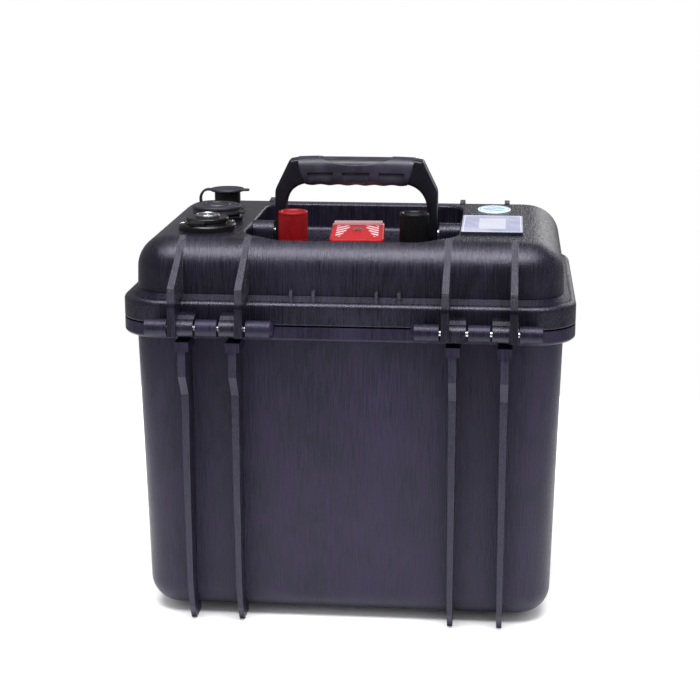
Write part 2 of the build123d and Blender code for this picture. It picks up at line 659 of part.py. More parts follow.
with BuildPart() as fuse_cover:
    with BuildSketch(fuse_plane(WELL_FLOOR + 0.6)):
        RectangleRounded(FUSE_COVER[0], FUSE_COVER[1], 3.5)
    extrude(amount=COVER_TOP - WELL_FLOOR - 0.6)
    fillet(fuse_cover.edges().group_by(Axis.Z)[-1], radius=1.5)
    # raised band across the far end of the top
    with BuildSketch(fuse_plane(COVER_TOP - 1.0)):
        with Locations((0, FUSE_COVER[1] / 2 - 6.5)):
            RectangleRounded(FUSE_COVER[0] - 3.0, 9.0, 1.0)
    extrude(amount=2.6)
    with BuildSketch(fuse_plane(WELL_FLOOR)):
        RectangleRounded(FUSE_COVER[0] - 2 * COVER_WALL, FUSE_COVER[1] - 2 * COVER_WALL, 2.0)
    extrude(amount=COVER_TOP - COVER_WALL - WELL_FLOOR, mode=Mode.SUBTRACT)
    with BuildSketch(fuse_plane(COVER_TOP - 5.0)):
        Circle(1.7)
    extrude(amount=8.0, mode=Mode.SUBTRACT)
save(fuse_cover.part, "fuse_cover")
with BuildPart() as fuse_screw:
    with BuildSketch(fuse_plane(COVER_TOP - 11.4)):
        Circle(1.6)
    extrude(amount=11.4)
    with BuildSketch(fuse_plane(COVER_TOP)):
        Circle(3.4)
    extrude(amount=1.6)
    with BuildSketch(fuse_plane(COVER_TOP + 0.8)):
        Rectangle(0.9, 4.6)
        Rectangle(4.6, 0.9)
    extrude(amount=2.0, mode=Mode.SUBTRACT)
save(fuse_screw.part, "fuse_screw")

# ======== 12 V power socket with a flip lid
CHARGE_X, CHARGE_Y = CHARGE_SOCKET
CHARGE_FLANGE_TOP = LID_TOP + 4.6
CHARGE_BORE = 10.5
CHARGE_RIM_TOP = CHARGE_FLANGE_TOP + 1.4
CHARGE_LID_RADIUS = 15.9
CHARGE_LID_TOP = CHARGE_RIM_TOP + 3.2
CHARGE_HINGE_Y = CHARGE_Y + CHARGE_LID_RADIUS + 1.6
CHARGE_HINGE_Z = CHARGE_RIM_TOP + 0.8
SCREW_SPREAD = 18.4
charge_body_profile = (
    (CHARGE_BORE, LID_TOP - 38.0),
    (CHARGE_HOLE - 0.2, LID_TOP - 38.0),
    (CHARGE_HOLE - 0.2, LID_TOP),
    (21.35, LID_TOP),
    (21.35, CHARGE_FLANGE_TOP - 1.0),
    (20.4, CHARGE_FLANGE_TOP),
    (15.2, CHARGE_FLANGE_TOP),
    (14.6, CHARGE_RIM_TOP),
    (CHARGE_BORE, CHARGE_RIM_TOP),
)
CHARGE_SCREWS = tuple(
    (CHARGE_X + SCREW_SPREAD * cos(radians(angle)), CHARGE_Y + SCREW_SPREAD * sin(radians(angle)))
    for angle in (20.0, 200.0)
)
with BuildPart() as charge_socket_body:
    add(spun(charge_body_profile, CHARGE_SOCKET))
    extrude(disc(CHARGE_BORE, LID_TOP - 40.0, CHARGE_SOCKET), amount=3.0)
    extrude(disc(2.1, LID_TOP - 41.0, CHARGE_SOCKET), amount=6.0, mode=Mode.SUBTRACT)
    # two hinge cheeks behind the bore, outside the flip lid's own knuckle
    for side in (-1, 1):
        cheek_x = CHARGE_X + side * 6.5
        cheek = [
            (CHARGE_HINGE_Y - 1.4, CHARGE_FLANGE_TOP - 1.0),
            (CHARGE_HINGE_Y + 2.2, CHARGE_FLANGE_TOP - 1.0),
            (CHARGE_HINGE_Y + 2.0, CHARGE_HINGE_Z + 1.6),
            (CHARGE_HINGE_Y - 1.4, CHARGE_HINGE_Z + 1.6),
        ]
        extrude(side_face(cheek, cheek_x), amount=1.5, both=True)
    extrude(end_disc(1.0, CHARGE_X - 9.0, CHARGE_HINGE_Y, CHARGE_HINGE_Z), amount=18.0, mode=Mode.SUBTRACT)
    for screw_at in CHARGE_SCREWS:
        extrude(disc(1.4, LID_TOP - 1.0, screw_at), amount=8.0, mode=Mode.SUBTRACT)
save(charge_socket_body.part, "charge_socket_body")
with BuildPart() as charge_socket_screws:
    for screw_at in CHARGE_SCREWS:
        extrude(disc(1.4, LID_TOP, screw_at), amount=4.6)
        extrude(disc(2.5, CHARGE_FLANGE_TOP, screw_at), amount=0.9)
save(charge_socket_screws.part, "charge_socket_screws")
with BuildPart() as charge_lid_pin:
    extrude(end_disc(1.0, CHARGE_X - 8.0, CHARGE_HINGE_Y, CHARGE_HINGE_Z), amount=16.0)
save(charge_lid_pin.part, "charge_lid_pin")
with BuildPart() as charge_socket_lid:
    extrude(
        disc(CHARGE_LID_RADIUS, CHARGE_RIM_TOP + 0.3, CHARGE_SOCKET),
        amount=CHARGE_LID_TOP - CHARGE_RIM_TOP - 0.3,
    )
    fillet(charge_socket_lid.edges().group_by(Axis.Z)[-1], radius=1.2)
    knuckle_arm = [
        (CHARGE_HINGE_Y - 6.0, CHARGE_RIM_TOP + 0.3),
        (CHARGE_HINGE_Y, CHARGE_HINGE_Z - 0.4),
        (CHARGE_HINGE_Y, CHARGE_HINGE_Z + 1.7),
        (CHARGE_HINGE_Y - 6.0, CHARGE_LID_TOP - 0.4),
    ]
    extrude(side_face(knuckle_arm, CHARGE_X), amount=4.6, both=True)
    extrude(end_disc(1.9, CHARGE_X - 4.6, CHARGE_HINGE_Y, CHARGE_HINGE_Z), amount=9.2)
    pin_hole = end_disc(1.0 + RUNNING, CHARGE_X - 9.0, CHARGE_HINGE_Y, CHARGE_HINGE_Z)
    extrude(pin_hole, amount=18.0, mode=Mode.SUBTRACT)
    # lift tab on the near side
    tab = [
        (CHARGE_Y - CHARGE_LID_RADIUS + 1.5, CHARGE_RIM_TOP + 0.3),
        (CHARGE_Y - CHARGE_LID_RADIUS - 3.6, CHARGE_FLANGE_TOP + 0.6),
        (CHARGE_Y - CHARGE_LID_RADIUS - 3.6, CHARGE_FLANGE_TOP + 2.4),
        (CHARGE_Y - CHARGE_LID_RADIUS + 1.5, CHARGE_LID_TOP - 0.6),
    ]
    extrude(side_face(tab, CHARGE_X - 4.5), amount=5.6, both=True)
save(charge_socket_lid.part, "charge_socket_lid")
with BuildPart() as charge_lid_disc:
    extrude(disc(9.2, CHARGE_LID_TOP, (CHARGE_X + 0.4, CHARGE_Y)), amount=2.2)
    fillet(charge_lid_disc.edges().group_by(Axis.Z)[-1], radius=0.8)
save(charge_lid_disc.part, "charge_lid_disc")

# ======== USB socket under a rubber cap that swings up on its edge
USB_X, USB_Y = USB_SOCKET
USB_FLANGE_TOP = LID_TOP + 4.0
USB_CAP_LOW = USB_FLANGE_TOP + 1.0
USB_CAP_TOP = PARTING + 71.6
USB_PIVOT_X = USB_X + 19.6
usb_profile = (
    (0.0, LID_TOP - 30.0),
    (USB_HOLE - 0.2, LID_TOP - 30.0),
    (USB_HOLE - 0.2, LID_TOP),
    (18.6, LID_TOP),
    (18.6, USB_FLANGE_TOP - 0.8),
    (17.8, USB_FLANGE_TOP),
    (0.0, USB_FLANGE_TOP),
)
with BuildPart() as usb_socket_body:
    add(spun(usb_profile, USB_SOCKET))
    for side in (-1, 1):
        extrude(rounded(13.4, 6.0, 0.6, USB_FLANGE_TOP - 14.0, (USB_X, USB_Y + 5.6 * side)), amount=16.0,
                mode=Mode.SUBTRACT)
    # low lug at the flange's edge that the cap's web is tied to
    extrude(rounded(3.6, 11.0, 1.0, LID_TOP, (USB_PIVOT_X - 1.0, USB_Y)), amount=2.4)
save(usb_socket_body.part, "usb_socket_body")
with BuildPart() as usb_cap:
    extrude(disc(18.8, USB_CAP_LOW, USB_SOCKET), amount=USB_CAP_TOP - USB_CAP_LOW - 0.8)
    fillet(usb_cap.edges().group_by(Axis.Z)[-1], radius=0.9)
    extrude(disc(10.4, USB_CAP_TOP - 1.8, USB_SOCKET), amount=1.8)
    extrude(disc(8.6, USB_CAP_TOP - 0.9, USB_SOCKET), amount=2.0, mode=Mode.SUBTRACT)
    extrude(rounded(9.0, 10.0, 1.0, USB_CAP_LOW, (USB_PIVOT_X - 2.6, USB_Y)), amount=2.2)
save(usb_cap.part, "usb_cap")

# ======== round auxiliary socket with a tethered cap
AUX_X, AUX_Y = AUX_SOCKET
AUX_TOP = PARTING + 74.0
AUX_CAP_TOP = PARTING + 76.4
AUX_BORE = 7.5
aux_profile = (
    (AUX_BORE, LID_TOP - 14.0),
    (AUX_HOLE - 0.2, LID_TOP - 14.0),
    (AUX_HOLE - 0.2, LID_TOP),
    (13.5, LID_TOP),
    (13.5, LID_TOP + 2.0),
    (10.2, LID_TOP + 2.6),
    (10.2, AUX_TOP - 0.6),
    (9.8, AUX_TOP),
    (AUX_BORE, AUX_TOP),
)
with BuildPart() as aux_socket_body:
    add(spun(aux_profile, AUX_SOCKET))
    extrude(disc(AUX_BORE, LID_TOP - 14.0, AUX_SOCKET), amount=4.0)
    with BuildSketch(Plane.XY.offset(LID_TOP - 15.0)):
        with Locations((AUX_X, AUX_Y)):
            with PolarLocations(3.6, 3):
                Circle(1.0)
    extrude(amount=6.0, mode=Mode.SUBTRACT)
save(aux_socket_body.part, "aux_socket_body")
with BuildPart() as aux_cap:
    extrude(disc(13.5, AUX_TOP + 0.3, AUX_SOCKET), amount=AUX_CAP_TOP - AUX_TOP - 0.3)
    extrude(rounded(8.0, 7.0, 1.5, AUX_TOP + 0.3, (AUX_X + 13.4, AUX_Y)), amount=1.8)
    extrude(rounded(4.0, 7.0, 1.5, AUX_TOP + 0.3, (AUX_X - 13.4, AUX_Y)), amount=1.8)
    extrude(disc(5.6, AUX_TOP - 2.0, AUX_SOCKET), amount=2.6)
save(aux_cap.part, "aux_cap")
STRAP_LOOP_X = AUX_X - 15.5
STRAP_FOOT_X = AUX_X - 14.0
STRAP = 1.8  # its thickness
STRAP_LOW = LID_TOP + 0.3
STRAP_HIGH = AUX_TOP + 0.3
STRAP_MIDDLE = (STRAP_LOW + STRAP_HIGH + STRAP) / 2
with BuildPart() as aux_strap:
    with BuildSketch(Plane.XZ.offset(-AUX_Y)):
        with BuildLine():
            top = (STRAP_LOOP_X, STRAP_HIGH + STRAP)
            low = (STRAP_LOOP_X, STRAP_LOW)
            ThreePointArc(top, (STRAP_LOOP_X - 7.0, STRAP_MIDDLE), low)
            foot = (STRAP_FOOT_X, STRAP_LOW)
            foot_top = (STRAP_FOOT_X, STRAP_LOW + STRAP)
            inner_low = (STRAP_LOOP_X, STRAP_LOW + STRAP)
            inner_top = (STRAP_LOOP_X, STRAP_HIGH)
            Polyline(low, foot, foot_top, inner_low)
            ThreePointArc(inner_low, (STRAP_LOOP_X - 7.0 + STRAP, STRAP_MIDDLE), inner_top)
            Line(inner_top, top)
        make_face()
    extrude(amount=3.0, both=True)
save(aux_strap.part, "aux_strap")

# ======== contacts of the three sockets: centre spring button, two tongues, three round pins
with BuildPart() as socket_contacts:
    extrude(disc(2.1, LID_TOP - 46.0, CHARGE_SOCKET), amount=9.0)
    for side in (-1, 1):
        tongue_at = (USB_X, USB_Y + 5.6 * side + 0.9)
        extrude(rounded(10.6, 1.8, 0.3, USB_FLANGE_TOP - 14.0, tongue_at), amount=11.5)
    with BuildSketch(Plane.XY.offset(LID_TOP - 18.0)) as pins:
        with Locations((AUX_X, AUX_Y)):
            with PolarLocations(3.6, 3):
                Circle(1.0)
    extrude(pins.sketch, amount=8.0)
save(socket_contacts.part, "socket_contacts")

# ======== nuts that hold the three sockets from under the lid
NUT_SIZES = (
    (CHARGE_SOCKET, CHARGE_HOLE - 0.2, 38.0),
    (USB_SOCKET, USB_HOLE - 0.2, 38.0),
    (AUX_SOCKET, AUX_HOLE - 0.2, 26.0),
)
with BuildPart() as socket_nuts:
    for centre, thread, corners in NUT_SIZES:
        extrude(hexagon(corners, LID_TOP - WALL - 3.8, centre), amount=3.8)
        extrude(disc(thread, LID_TOP - WALL - 5.0, centre), amount=6.0, mode=Mode.SUBTRACT)
save(socket_nuts.part, "socket_nuts")

# ======== display: housing, clear window, screen and board
DISPLAY_SIZE = (45.3, 73.5)
HOUSING_HIGH = 1.2
WINDOW_HIGH = 0.9
SCREEN_SIZE = (20.1, 46.7)


def display_plate(size, less, corner, height):
    """A rounded rectangle about the display's middle, smaller than the size given by a small amount."""
    return rounded(size[0] - less, size[1] - less, corner, height, DISPLAY_CENTRE)


with BuildPart() as display_housing:
    extrude(display_plate(DISPLAY_SIZE, 0.0, 1.2, LID_TOP), amount=HOUSING_HIGH)
    extrude(display_plate(DISPLAY_HOLE, 0.4, 1.3, LID_TOP - 14.0), amount=15.0)
    extrude(display_plate(DISPLAY_HOLE, 4.0, 0.8, LID_TOP - 12.0), amount=20.0, mode=Mode.SUBTRACT)
save(display_housing.part, "display_housing")
with BuildPart() as display_window:
    extrude(display_plate(DISPLAY_SIZE, 0.0, 1.2, LID_TOP + HOUSING_HIGH), amount=WINDOW_HIGH)
save(display_window.part, "display_window")
with BuildPart() as display_screen:
    extrude(display_plate(SCREEN_SIZE, 0.0, 0.5, LID_TOP - 0.5), amount=HOUSING_HIGH + 0.4)
save(display_screen.part, "display_screen")
with BuildPart() as display_board:
    extrude(display_plate(DISPLAY_HOLE, 4.4, 0.8, LID_TOP - 2.1), amount=1.6)
save(display_board.part, "display_board")

# ======== oval badge
with BuildPart() as info_badge:
    with BuildSketch(Plane.XY.offset(LID_TOP)):
        with Locations(BADGE_CENTRE):
            Ellipse(13.0, 18.0)
    extrude(amount=0.9)
    fillet(info_badge.edges().group_by(Axis.Z)[-1], radius=0.4)
save(info_badge.part, "info_badge")

# ======== cells, side by side along X, in series
POST_RADIUS = 8.5
POST_TOP = CELL_TOP + 2.5
BUSBAR = 2.0
CELL_X = tuple(CELL_PITCH * (number - 1.5) for number in range(4))
for number, x in enumerate(CELL_X, start=1):
    with BuildPart() as cell:
        extrude(rounded(CELL_SIZE[0], CELL_SIZE[1], 4.0, CELL_BASE, (x, 0)), amount=CELL_SIZE[2])
        fillet(cell.edges().group_by(Axis.Z)[0], radius=1.5)
        with BuildSketch(Plane.XY.offset(CELL_TOP)):
            with Locations((x, 0)):
                SlotOverall(26.0, 12.0, rotation=90)
        extrude(amount=-0.8, mode=Mode.SUBTRACT)
    save(cell.part, f"cell_{number}")
with BuildPart() as cell_posts:
    for x in CELL_X:
        for y in (-POST_REACH, POST_REACH):
            extrude(disc(POST_RADIUS, CELL_TOP, (x, y)), amount=2.5)
            extrude(disc(3.0, POST_TOP, (x, y)), amount=10.0)
save(cell_posts.part, "cell_posts")
with BuildPart() as busbars:
    for index, y in ((0, POST_REACH), (1, -POST_REACH), (2, POST_REACH)):
        middle = (CELL_X[index] + CELL_X[index + 1]) / 2
        extrude(rounded(CELL_PITCH + 18.0, 18.0, 5.0, POST_TOP, (middle, y)), amount=BUSBAR)
        for x in CELL_X[index: index + 2]:
            extrude(disc(3.0, POST_TOP - 1.0, (x, y)), amount=5.0, mode=Mode.SUBTRACT)
save(busbars.part, "busbars")
with BuildPart() as busbar_nuts:
    for x in CELL_X:
        for y in (-POST_REACH, POST_REACH):
            extrude(hexagon(11.5, POST_TOP + BUSBAR, (x, y)), amount=6.0)
            extrude(disc(3.0, POST_TOP, (x, y)), amount=12.0, mode=Mode.SUBTRACT)
save(busbar_nuts.part, "busbar_nuts")

# ======== what holds the cells: insulators, straps, foam and the cover sheet
END_HALF = 2 * CELL_PITCH + 0.6
with BuildPart() as cell_insulators:
    for x in (-CELL_PITCH, 0.0, CELL_PITCH):
        extrude(rounded(0.6, 168.0, 0.2, CELL_BASE, (x, 0)), amount=198.0)
    for side in (-1, 1):
        extrude(rounded(0.9, 160.0, 0.3, CELL_BASE, (side * (END_HALF - 0.45), 0)), amount=200.0)
save(cell_insulators.part, "cell_insulators")
with BuildPart() as pack_straps:
    for height in (58.0, 168.0):
        extrude(rounded(2 * END_HALF + 1.6, CELL_SIZE[1] + 1.6, 5.0, height), amount=14.0)
        extrude(rounded(2 * END_HALF, CELL_SIZE[1], 4.0, height - 1.0), amount=16.0, mode=Mode.SUBTRACT)
save(pack_straps.part, "pack_straps")
with BuildPart() as foam_base_pad:
    extrude(rounded(250.0, 150.0, 8.0, TUB_BASE + WALL), amount=CELL_BASE - TUB_BASE - WALL)
save(foam_base_pad.part, "foam_base_pad")
with BuildPart() as foam_side_pads:
    for side in (-1, 1):
        extrude(rounded(250.0, 7.0, 2.0, 32.0, (0, side * 91.6)), amount=170.0)
save(foam_side_pads.part, "foam_side_pads")
SHEET_BASE = POST_TOP + BUSBAR + 8.4
with BuildPart() as cover_sheet:
    extrude(rounded(284.0, 168.0, 6.0, SHEET_BASE), amount=1.2)
    # notches for the leads at the pack's two ends
    extrude(rounded(70.0, 70.0, 4.0, SHEET_BASE - 1.0, (-120.0, -66.0)), amount=4.0, mode=Mode.SUBTRACT)
    extrude(rounded(70.0, 130.0, 4.0, SHEET_BASE - 1.0, (120.0, -36.0)), amount=4.0, mode=Mode.SUBTRACT)
save(cover_sheet.part, "cover_sheet")

# ======== battery management unit on the cover sheet
BMS_CENTRE = (0.0, 24.0)
BMS_BASE = SHEET_BASE + 1.2
BMS_HEIGHT = 13.0
with BuildPart() as bms_housing:
    extrude(rounded(116.0, 66.0, 3.0, BMS_BASE, BMS_CENTRE), amount=BMS_HEIGHT)
    for fin in range(11):
        fin_x = BMS_CENTRE[0] - 45.0 + 9.0 * fin
        extrude(rounded(4.0, 80.0, 0.5, BMS_BASE + BMS_HEIGHT - 3.0, (fin_x, BMS_CENTRE[1])), amount=5.0,
                mode=Mode.SUBTRACT)
    with BuildSketch(Plane.XY.offset(BMS_BASE)):
        with Locations(BMS_CENTRE):
            with GridLocations(106.0, 56.0, 2, 2):
                Circle(1.5)
    extrude(amount=BMS_HEIGHT + 1.0, mode=Mode.SUBTRACT)
save(bms_housing.part, "bms_housing")
with BuildPart() as bms_screws:
    with BuildSketch(Plane.XY.offset(BMS_BASE)):
        with Locations(BMS_CENTRE):
            with GridLocations(106.0, 56.0, 2, 2):
                Circle(1.5)
    extrude(amount=BMS_HEIGHT)
    with BuildSketch(Plane.XY.offset(BMS_BASE + BMS_HEIGHT)):
        with Locations(BMS_CENTRE):
            with GridLocations(106.0, 56.0, 2, 2):
                Circle(2.6)
    extrude(amount=1.6)
save(bms_screws.part, "bms_screws")

# ======== leads and their lugs
LEAD_RADIUS = 4.0
LUG = 1.8
LUG_LOW = POST_TOP
LUG_HIGH = WELL_FLOOR - WELL_WALL - 8.1 - LUG - 0.1


def lead(points, radii):
    """A round lead along straight runs joined by arcs of the given radii."""
    with BuildPart() as wire:
        with BuildLine() as route:
            FilletPolyline(*points, radius=radii)
        with BuildSketch(Plane(origin=route.line @ 0, z_dir=route.line % 0)) as section:
            Circle(LEAD_RADIUS)
        sweep(section.sketch, path=route.line)
    return wire.part


def lug(post, toward, height):
    """A flat ring lug on a post, with a barrel that points at the (x, y) direction given."""
    length = (toward[0] ** 2 + toward[1] ** 2) ** 0.5
    along = (toward[0] / length, toward[1] / length, 0)
    plane = Plane(origin=(post[0], post[1], height), x_dir=along, z_dir=(0, 0, 1))
    with BuildPart() as ring:
        with BuildSketch(plane):
            Circle(7.5)
            with Locations((9.0, 0)):
                Rectangle(14.0, 9.0)
            Circle(3.0 if height < PARTING else STUD_RADIUS, mode=Mode.SUBTRACT)
        extrude(amount=LUG)
    return ring.part


BARREL_RISE = LEAD_RADIUS + LUG
POSITIVE_POST = (CELL_X[0], -POST_REACH)
NEGATIVE_POST = (CELL_X[3], -POST_REACH)
positive_route = [
    (POSITIVE_POST[0] + 16.5, -POST_REACH - 9.0, LUG_LOW + BARREL_RISE),
    (POSITIVE_POST[0] + 31.0, -79.0, LUG_LOW + BARREL_RISE + 1.0),
    (-56.0, -84.0, 243.0),
    (TERMINALS[0][0] - 1.0, -69.0, LUG_HIGH - LEAD_RADIUS - 0.3),
    (TERMINALS[0][0] - 0.5, -55.0, LUG_HIGH - LEAD_RADIUS - 0.3),
]
save(lead(positive_route, [20.0, 18.0, 11.0]), "positive_lead")
negative_route = [
    (52.0, -14.0, BMS_BASE + 6.0),
    (58.0, -34.0, BMS_BASE + 4.5),
    (66.0, -58.0, BMS_BASE + 4.0),
    (56.0, -76.0, 244.0),
    (TERMINALS[1][0] + 2.0, -71.0, LUG_HIGH - LEAD_RADIUS - 1.6),
    (TERMINALS[1][0] + 0.5, -55.0, LUG_HIGH - LEAD_RADIUS - 0.3),
]
save(lead(negative_route, [22.0, 18.0, 9.0, 8.0]), "negative_lead")
cell_route = [
    (NEGATIVE_POST[0] - 4.0, -46.0, LUG_LOW + BARREL_RISE),
    (NEGATIVE_POST[0] - 7.0, -26.0, LUG_LOW + BARREL_RISE + 3.0),
    (92.0, 2.0, BMS_BASE + 5.0),
    (75.0, 12.0, BMS_BASE + 6.2),
    (58.8, 14.0, BMS_BASE + 6.2),
]
save(lead(cell_route, [24.0, 20.0, 18.0]), "cell_lead")
with BuildPart() as case_lugs:
    add(lug(POSITIVE_POST, (16.0, -9.0), LUG_LOW))
    add(lug(NEGATIVE_POST, (-4.0, 16.0), LUG_LOW))
save(case_lugs.part, "case_lugs")
with BuildPart() as lid_lugs:
    for x, y in TERMINALS:
        add(lug((x, y), (0.0, -1.0), LUG_HIGH))
save(lid_lugs.part, "lid_lugs")
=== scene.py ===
"""Looks of a battery pack in a waterproof hard case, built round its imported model.

Everything is in metres, in the model's own frame: +Z up, the hinge side at -Y and the latch side at +Y.
"""
import logging
from dataclasses import dataclass
from enum import Enum
from math import atan2, pi, radians
from typing import Sequence

import bpy
import numpy as np
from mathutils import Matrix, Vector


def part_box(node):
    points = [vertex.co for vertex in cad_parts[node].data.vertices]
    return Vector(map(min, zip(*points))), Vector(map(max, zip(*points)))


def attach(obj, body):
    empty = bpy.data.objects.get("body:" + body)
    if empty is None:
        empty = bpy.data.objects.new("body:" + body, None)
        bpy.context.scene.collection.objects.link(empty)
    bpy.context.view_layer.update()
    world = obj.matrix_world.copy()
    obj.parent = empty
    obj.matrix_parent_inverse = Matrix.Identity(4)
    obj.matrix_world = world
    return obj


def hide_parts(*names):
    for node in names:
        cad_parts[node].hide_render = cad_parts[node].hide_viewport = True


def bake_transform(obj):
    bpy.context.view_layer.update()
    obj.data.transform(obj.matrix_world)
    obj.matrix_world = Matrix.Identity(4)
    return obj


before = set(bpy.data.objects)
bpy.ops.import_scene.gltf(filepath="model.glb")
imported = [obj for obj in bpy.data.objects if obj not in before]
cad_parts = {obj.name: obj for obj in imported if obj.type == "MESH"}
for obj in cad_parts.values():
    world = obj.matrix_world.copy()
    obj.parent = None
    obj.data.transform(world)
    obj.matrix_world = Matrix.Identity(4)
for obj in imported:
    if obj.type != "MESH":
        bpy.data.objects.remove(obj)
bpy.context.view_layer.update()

Array = np.ndarray
Colour = tuple[float, float, float]
Point = tuple[float, float, float]
Socket = bpy.types.NodeSocket

MM = 0.001
SHARP_ANGLE = radians(38.0)
BAR_STEPS = 32
log = logging.getLogger("battery_pack")


class Axis(Enum):
    """An axis of the model's frame, by its place in a point."""

    X = 0
    Y = 1
    Z = 2


# ======== surfaces


class Solid:
    """Closed surfaces that together make one piece."""

    def __init__(self) -> None:
        """Starts with no surface."""
        self.points: list[Array] = []
        self.loops: list[Array] = []
        self.sizes: list[Array] = []
        self.count = 0

    def add(self, grid: Array) -> "Solid":
        """Adds one closed surface from a grid of points.

        Formula: grid[i, j] is the point at row i and step j round the row. Each cell is a quad, the last
        step joins the first, and each end row is closed by a fan to its mean point. If the sum of the
        triple products of the faces, which is six times the volume, is negative, every face is turned.

        Args:
            grid: rows by steps by 3, in metres.

        Returns:
            The solid itself.
        """
        rows, steps, _ = grid.shape
        points = np.concatenate([grid.reshape(-1, 3), grid[:1].mean(1), grid[-1:].mean(1)])
        index = np.arange(rows * steps).reshape(rows, steps)
        after = np.roll(index, -1, axis=1)
        quads = np.stack([index[:-1], after[:-1], after[1:], index[1:]], axis=-1).reshape(-1, 4)
        low_pole = np.full(steps, rows * steps)
        low = np.stack([after[0], index[0], low_pole], axis=-1)
        high = np.stack([index[-1], after[-1], low_pole + 1], axis=-1)
        fans = np.concatenate([low, high])
        triangles = np.concatenate([quads[:, :3], quads[:, [0, 2, 3]], fans])
        corners = points[triangles] - points.mean(0)
        volume = np.einsum("ij,ij->i", corners[:, 0], np.cross(corners[:, 1], corners[:, 2])).sum()
        if volume < 0:
            quads = quads[:, ::-1]
            fans = fans[:, ::-1]
        self.points.append(points)
        self.loops.append(np.concatenate([quads.ravel(), fans.ravel()]) + self.count)
        self.sizes.append(np.concatenate([np.full(len(quads), 4), np.full(len(fans), 3)]))
        self.count += len(points)
        return self

    def piece(self, name: str) -> bpy.types.Object:
        """Puts the surfaces into one object at the origin.

        Args:
            name: the piece's name.

        Returns:
            The new object, shaded smooth up to a sharp angle.
        """
        points = np.concatenate(self.points)
        loops = np.concatenate(self.loops)
        sizes = np.concatenate(self.sizes)
        mesh = bpy.data.meshes.new(name)
        mesh.vertices.add(len(points))
        mesh.vertices.foreach_set("co", points.astype(np.float32).ravel())
        mesh.loops.add(len(loops))
        mesh.loops.foreach_set("vertex_index", loops.astype(np.int32))
        mesh.polygons.add(len(sizes))
        mesh.polygons.foreach_set("loop_start", (np.cumsum(sizes) - sizes).astype(np.int32))
        mesh.update(calc_edges=True)
        mesh.shade_smooth()
        mesh.set_sharp_from_angle(angle=SHARP_ANGLE)
        made = bpy.data.objects.new(name, mesh)
        bpy.context.scene.collection.objects.link(made)
        return made


def step_up(value: Array, low: float, high: float) -> Array:
    """A smooth step: 0 below low, 1 above high, and 3t^2 - 2t^3 between."""
    t = np.clip((value - low) / (high - low), 0.0, 1.0)
    return t * t * (3.0 - 2.0 * t)


def oval(angles: Array, power: float) -> tuple[Array, Array]:
    """The two coordinates of a squared-off circle of half-width 1.

    Formula: cos and sin of the angle, each raised to 2 / power with its sign kept.
    """
    shape = 2.0 / power
    across, up = np.cos(angles), np.sin(angles)
    return np.sign(across) * np.abs(across) ** shape, np.sign(up) * np.abs(up) ** shape


def eased(points: Sequence[tuple[float, float]], radius: float, steps: int = 5) -> Array:
    """A profile with its corners rounded.

    Formula: each inner corner is replaced by the quadratic curve (1-t)^2 a + 2t(1-t) corner + t^2 b, where
    a and b lie on the two runs at the radius from the corner, or at 0.45 of a run that is too short.

    Args:
        points: the corners, as (radius, height) pairs.
        radius: how far from a corner the rounding starts.
        steps: points on each rounding.

    Returns:
        The rounded profile.
    """
    line = np.array(points, float)
    t = np.linspace(0.0, 1.0, steps)[:, None]
    parts = [line[:1]]
    for before, corner, after in zip(line[:-2], line[1:-1], line[2:]):
        back, ahead = before - corner, after - corner
        reach_back = min(radius / max(np.linalg.norm(back), 1e-12), 0.45)
        reach_ahead = min(radius / max(np.linalg.norm(ahead), 1e-12), 0.45)
        a, b = corner + back * reach_back, corner + ahead * reach_ahead
        parts.append((1 - t) ** 2 * a + 2 * t * (1 - t) * corner + t**2 * b)
    parts.append(line[-1:])
    return np.concatenate(parts)


def turned(profile: Array, centre: tuple[float, float], steps: int = 96) -> Array:
    """A turned surface.

    Formula: the point at profile place (r, z) and angle a is (cx + r cos a, cy + r sin a, z).

    Args:
        profile: (radius, height) pairs, in metres.
        centre: x and y of the axis.
        steps: points round the axis.

    Returns:
        The grid of the surface.
    """
    angles = np.linspace(0.0, 2 * pi, steps, endpoint=False)
    radius, height = profile[:, :1], profile[:, 1:]
    x = centre[0] + radius * np.cos(angles)
    y = centre[1] + radius * np.sin(angles)
    return np.stack([x, y, np.broadcast_to(height, x.shape)], axis=-1)


def swept(path: Array, width: Array | float, thickness: float, side: Point, power: float) -> Array:
    """A bar carried along a path.

    Formula: at each path point, the ring is p + w ov_x(a) side + h ov_z(a) n, where n is square to the
    path and to the side direction, and ov is the squared-off circle of the given power.

    Args:
        path: points of the middle line.
        width: half-width along the side direction, one for all points or one each.
        thickness: half-thickness along n.
        side: unit direction of the width.
        power: 2 for a round bar, more for a squarer one.

    Returns:
        The grid of the surface.
    """
    along = np.gradient(path, axis=0)
    along /= np.linalg.norm(along, axis=1, keepdims=True)
    out = np.cross(along, np.array(side, float))
    out /= np.linalg.norm(out, axis=1, keepdims=True)
    across, up = oval(np.linspace(0.0, 2 * pi, BAR_STEPS, endpoint=False), power)
    widths = np.broadcast_to(width, len(path))
    ring = widths[:, None, None] * across[None, :, None] * np.array(side)
    ring = ring + thickness * up[None, :, None] * out[:, None, :]
    return path[:, None, :] + ring


def spline_line(points: Sequence[Point]) -> Array:
    """A smooth line through a lead's slack.

    Formula: a NURBS spline of order 3, clamped at both ends, with the points as its control points.

    Args:
        points: the control points.

    Returns:
        The points of the line, as Blender draws it.
    """
    curve = bpy.data.curves.new("slack", "CURVE")
    curve.dimensions = "3D"
    spline = curve.splines.new("NURBS")
    spline.points.add(len(points) - 1)
    for control, point in zip(spline.points, points):
        control.co = (*point, 1.0)
    spline.order_u = 3
    spline.use_endpoint_u = True
    holder = bpy.data.objects.new("slack", curve)
    mesh = bpy.data.meshes.new_from_object(holder)
    line = np.array([tuple(vertex.co) for vertex in mesh.vertices])
    bpy.data.objects.remove(holder)
    bpy.data.curves.remove(curve)
    bpy.data.meshes.remove(mesh)
    return line


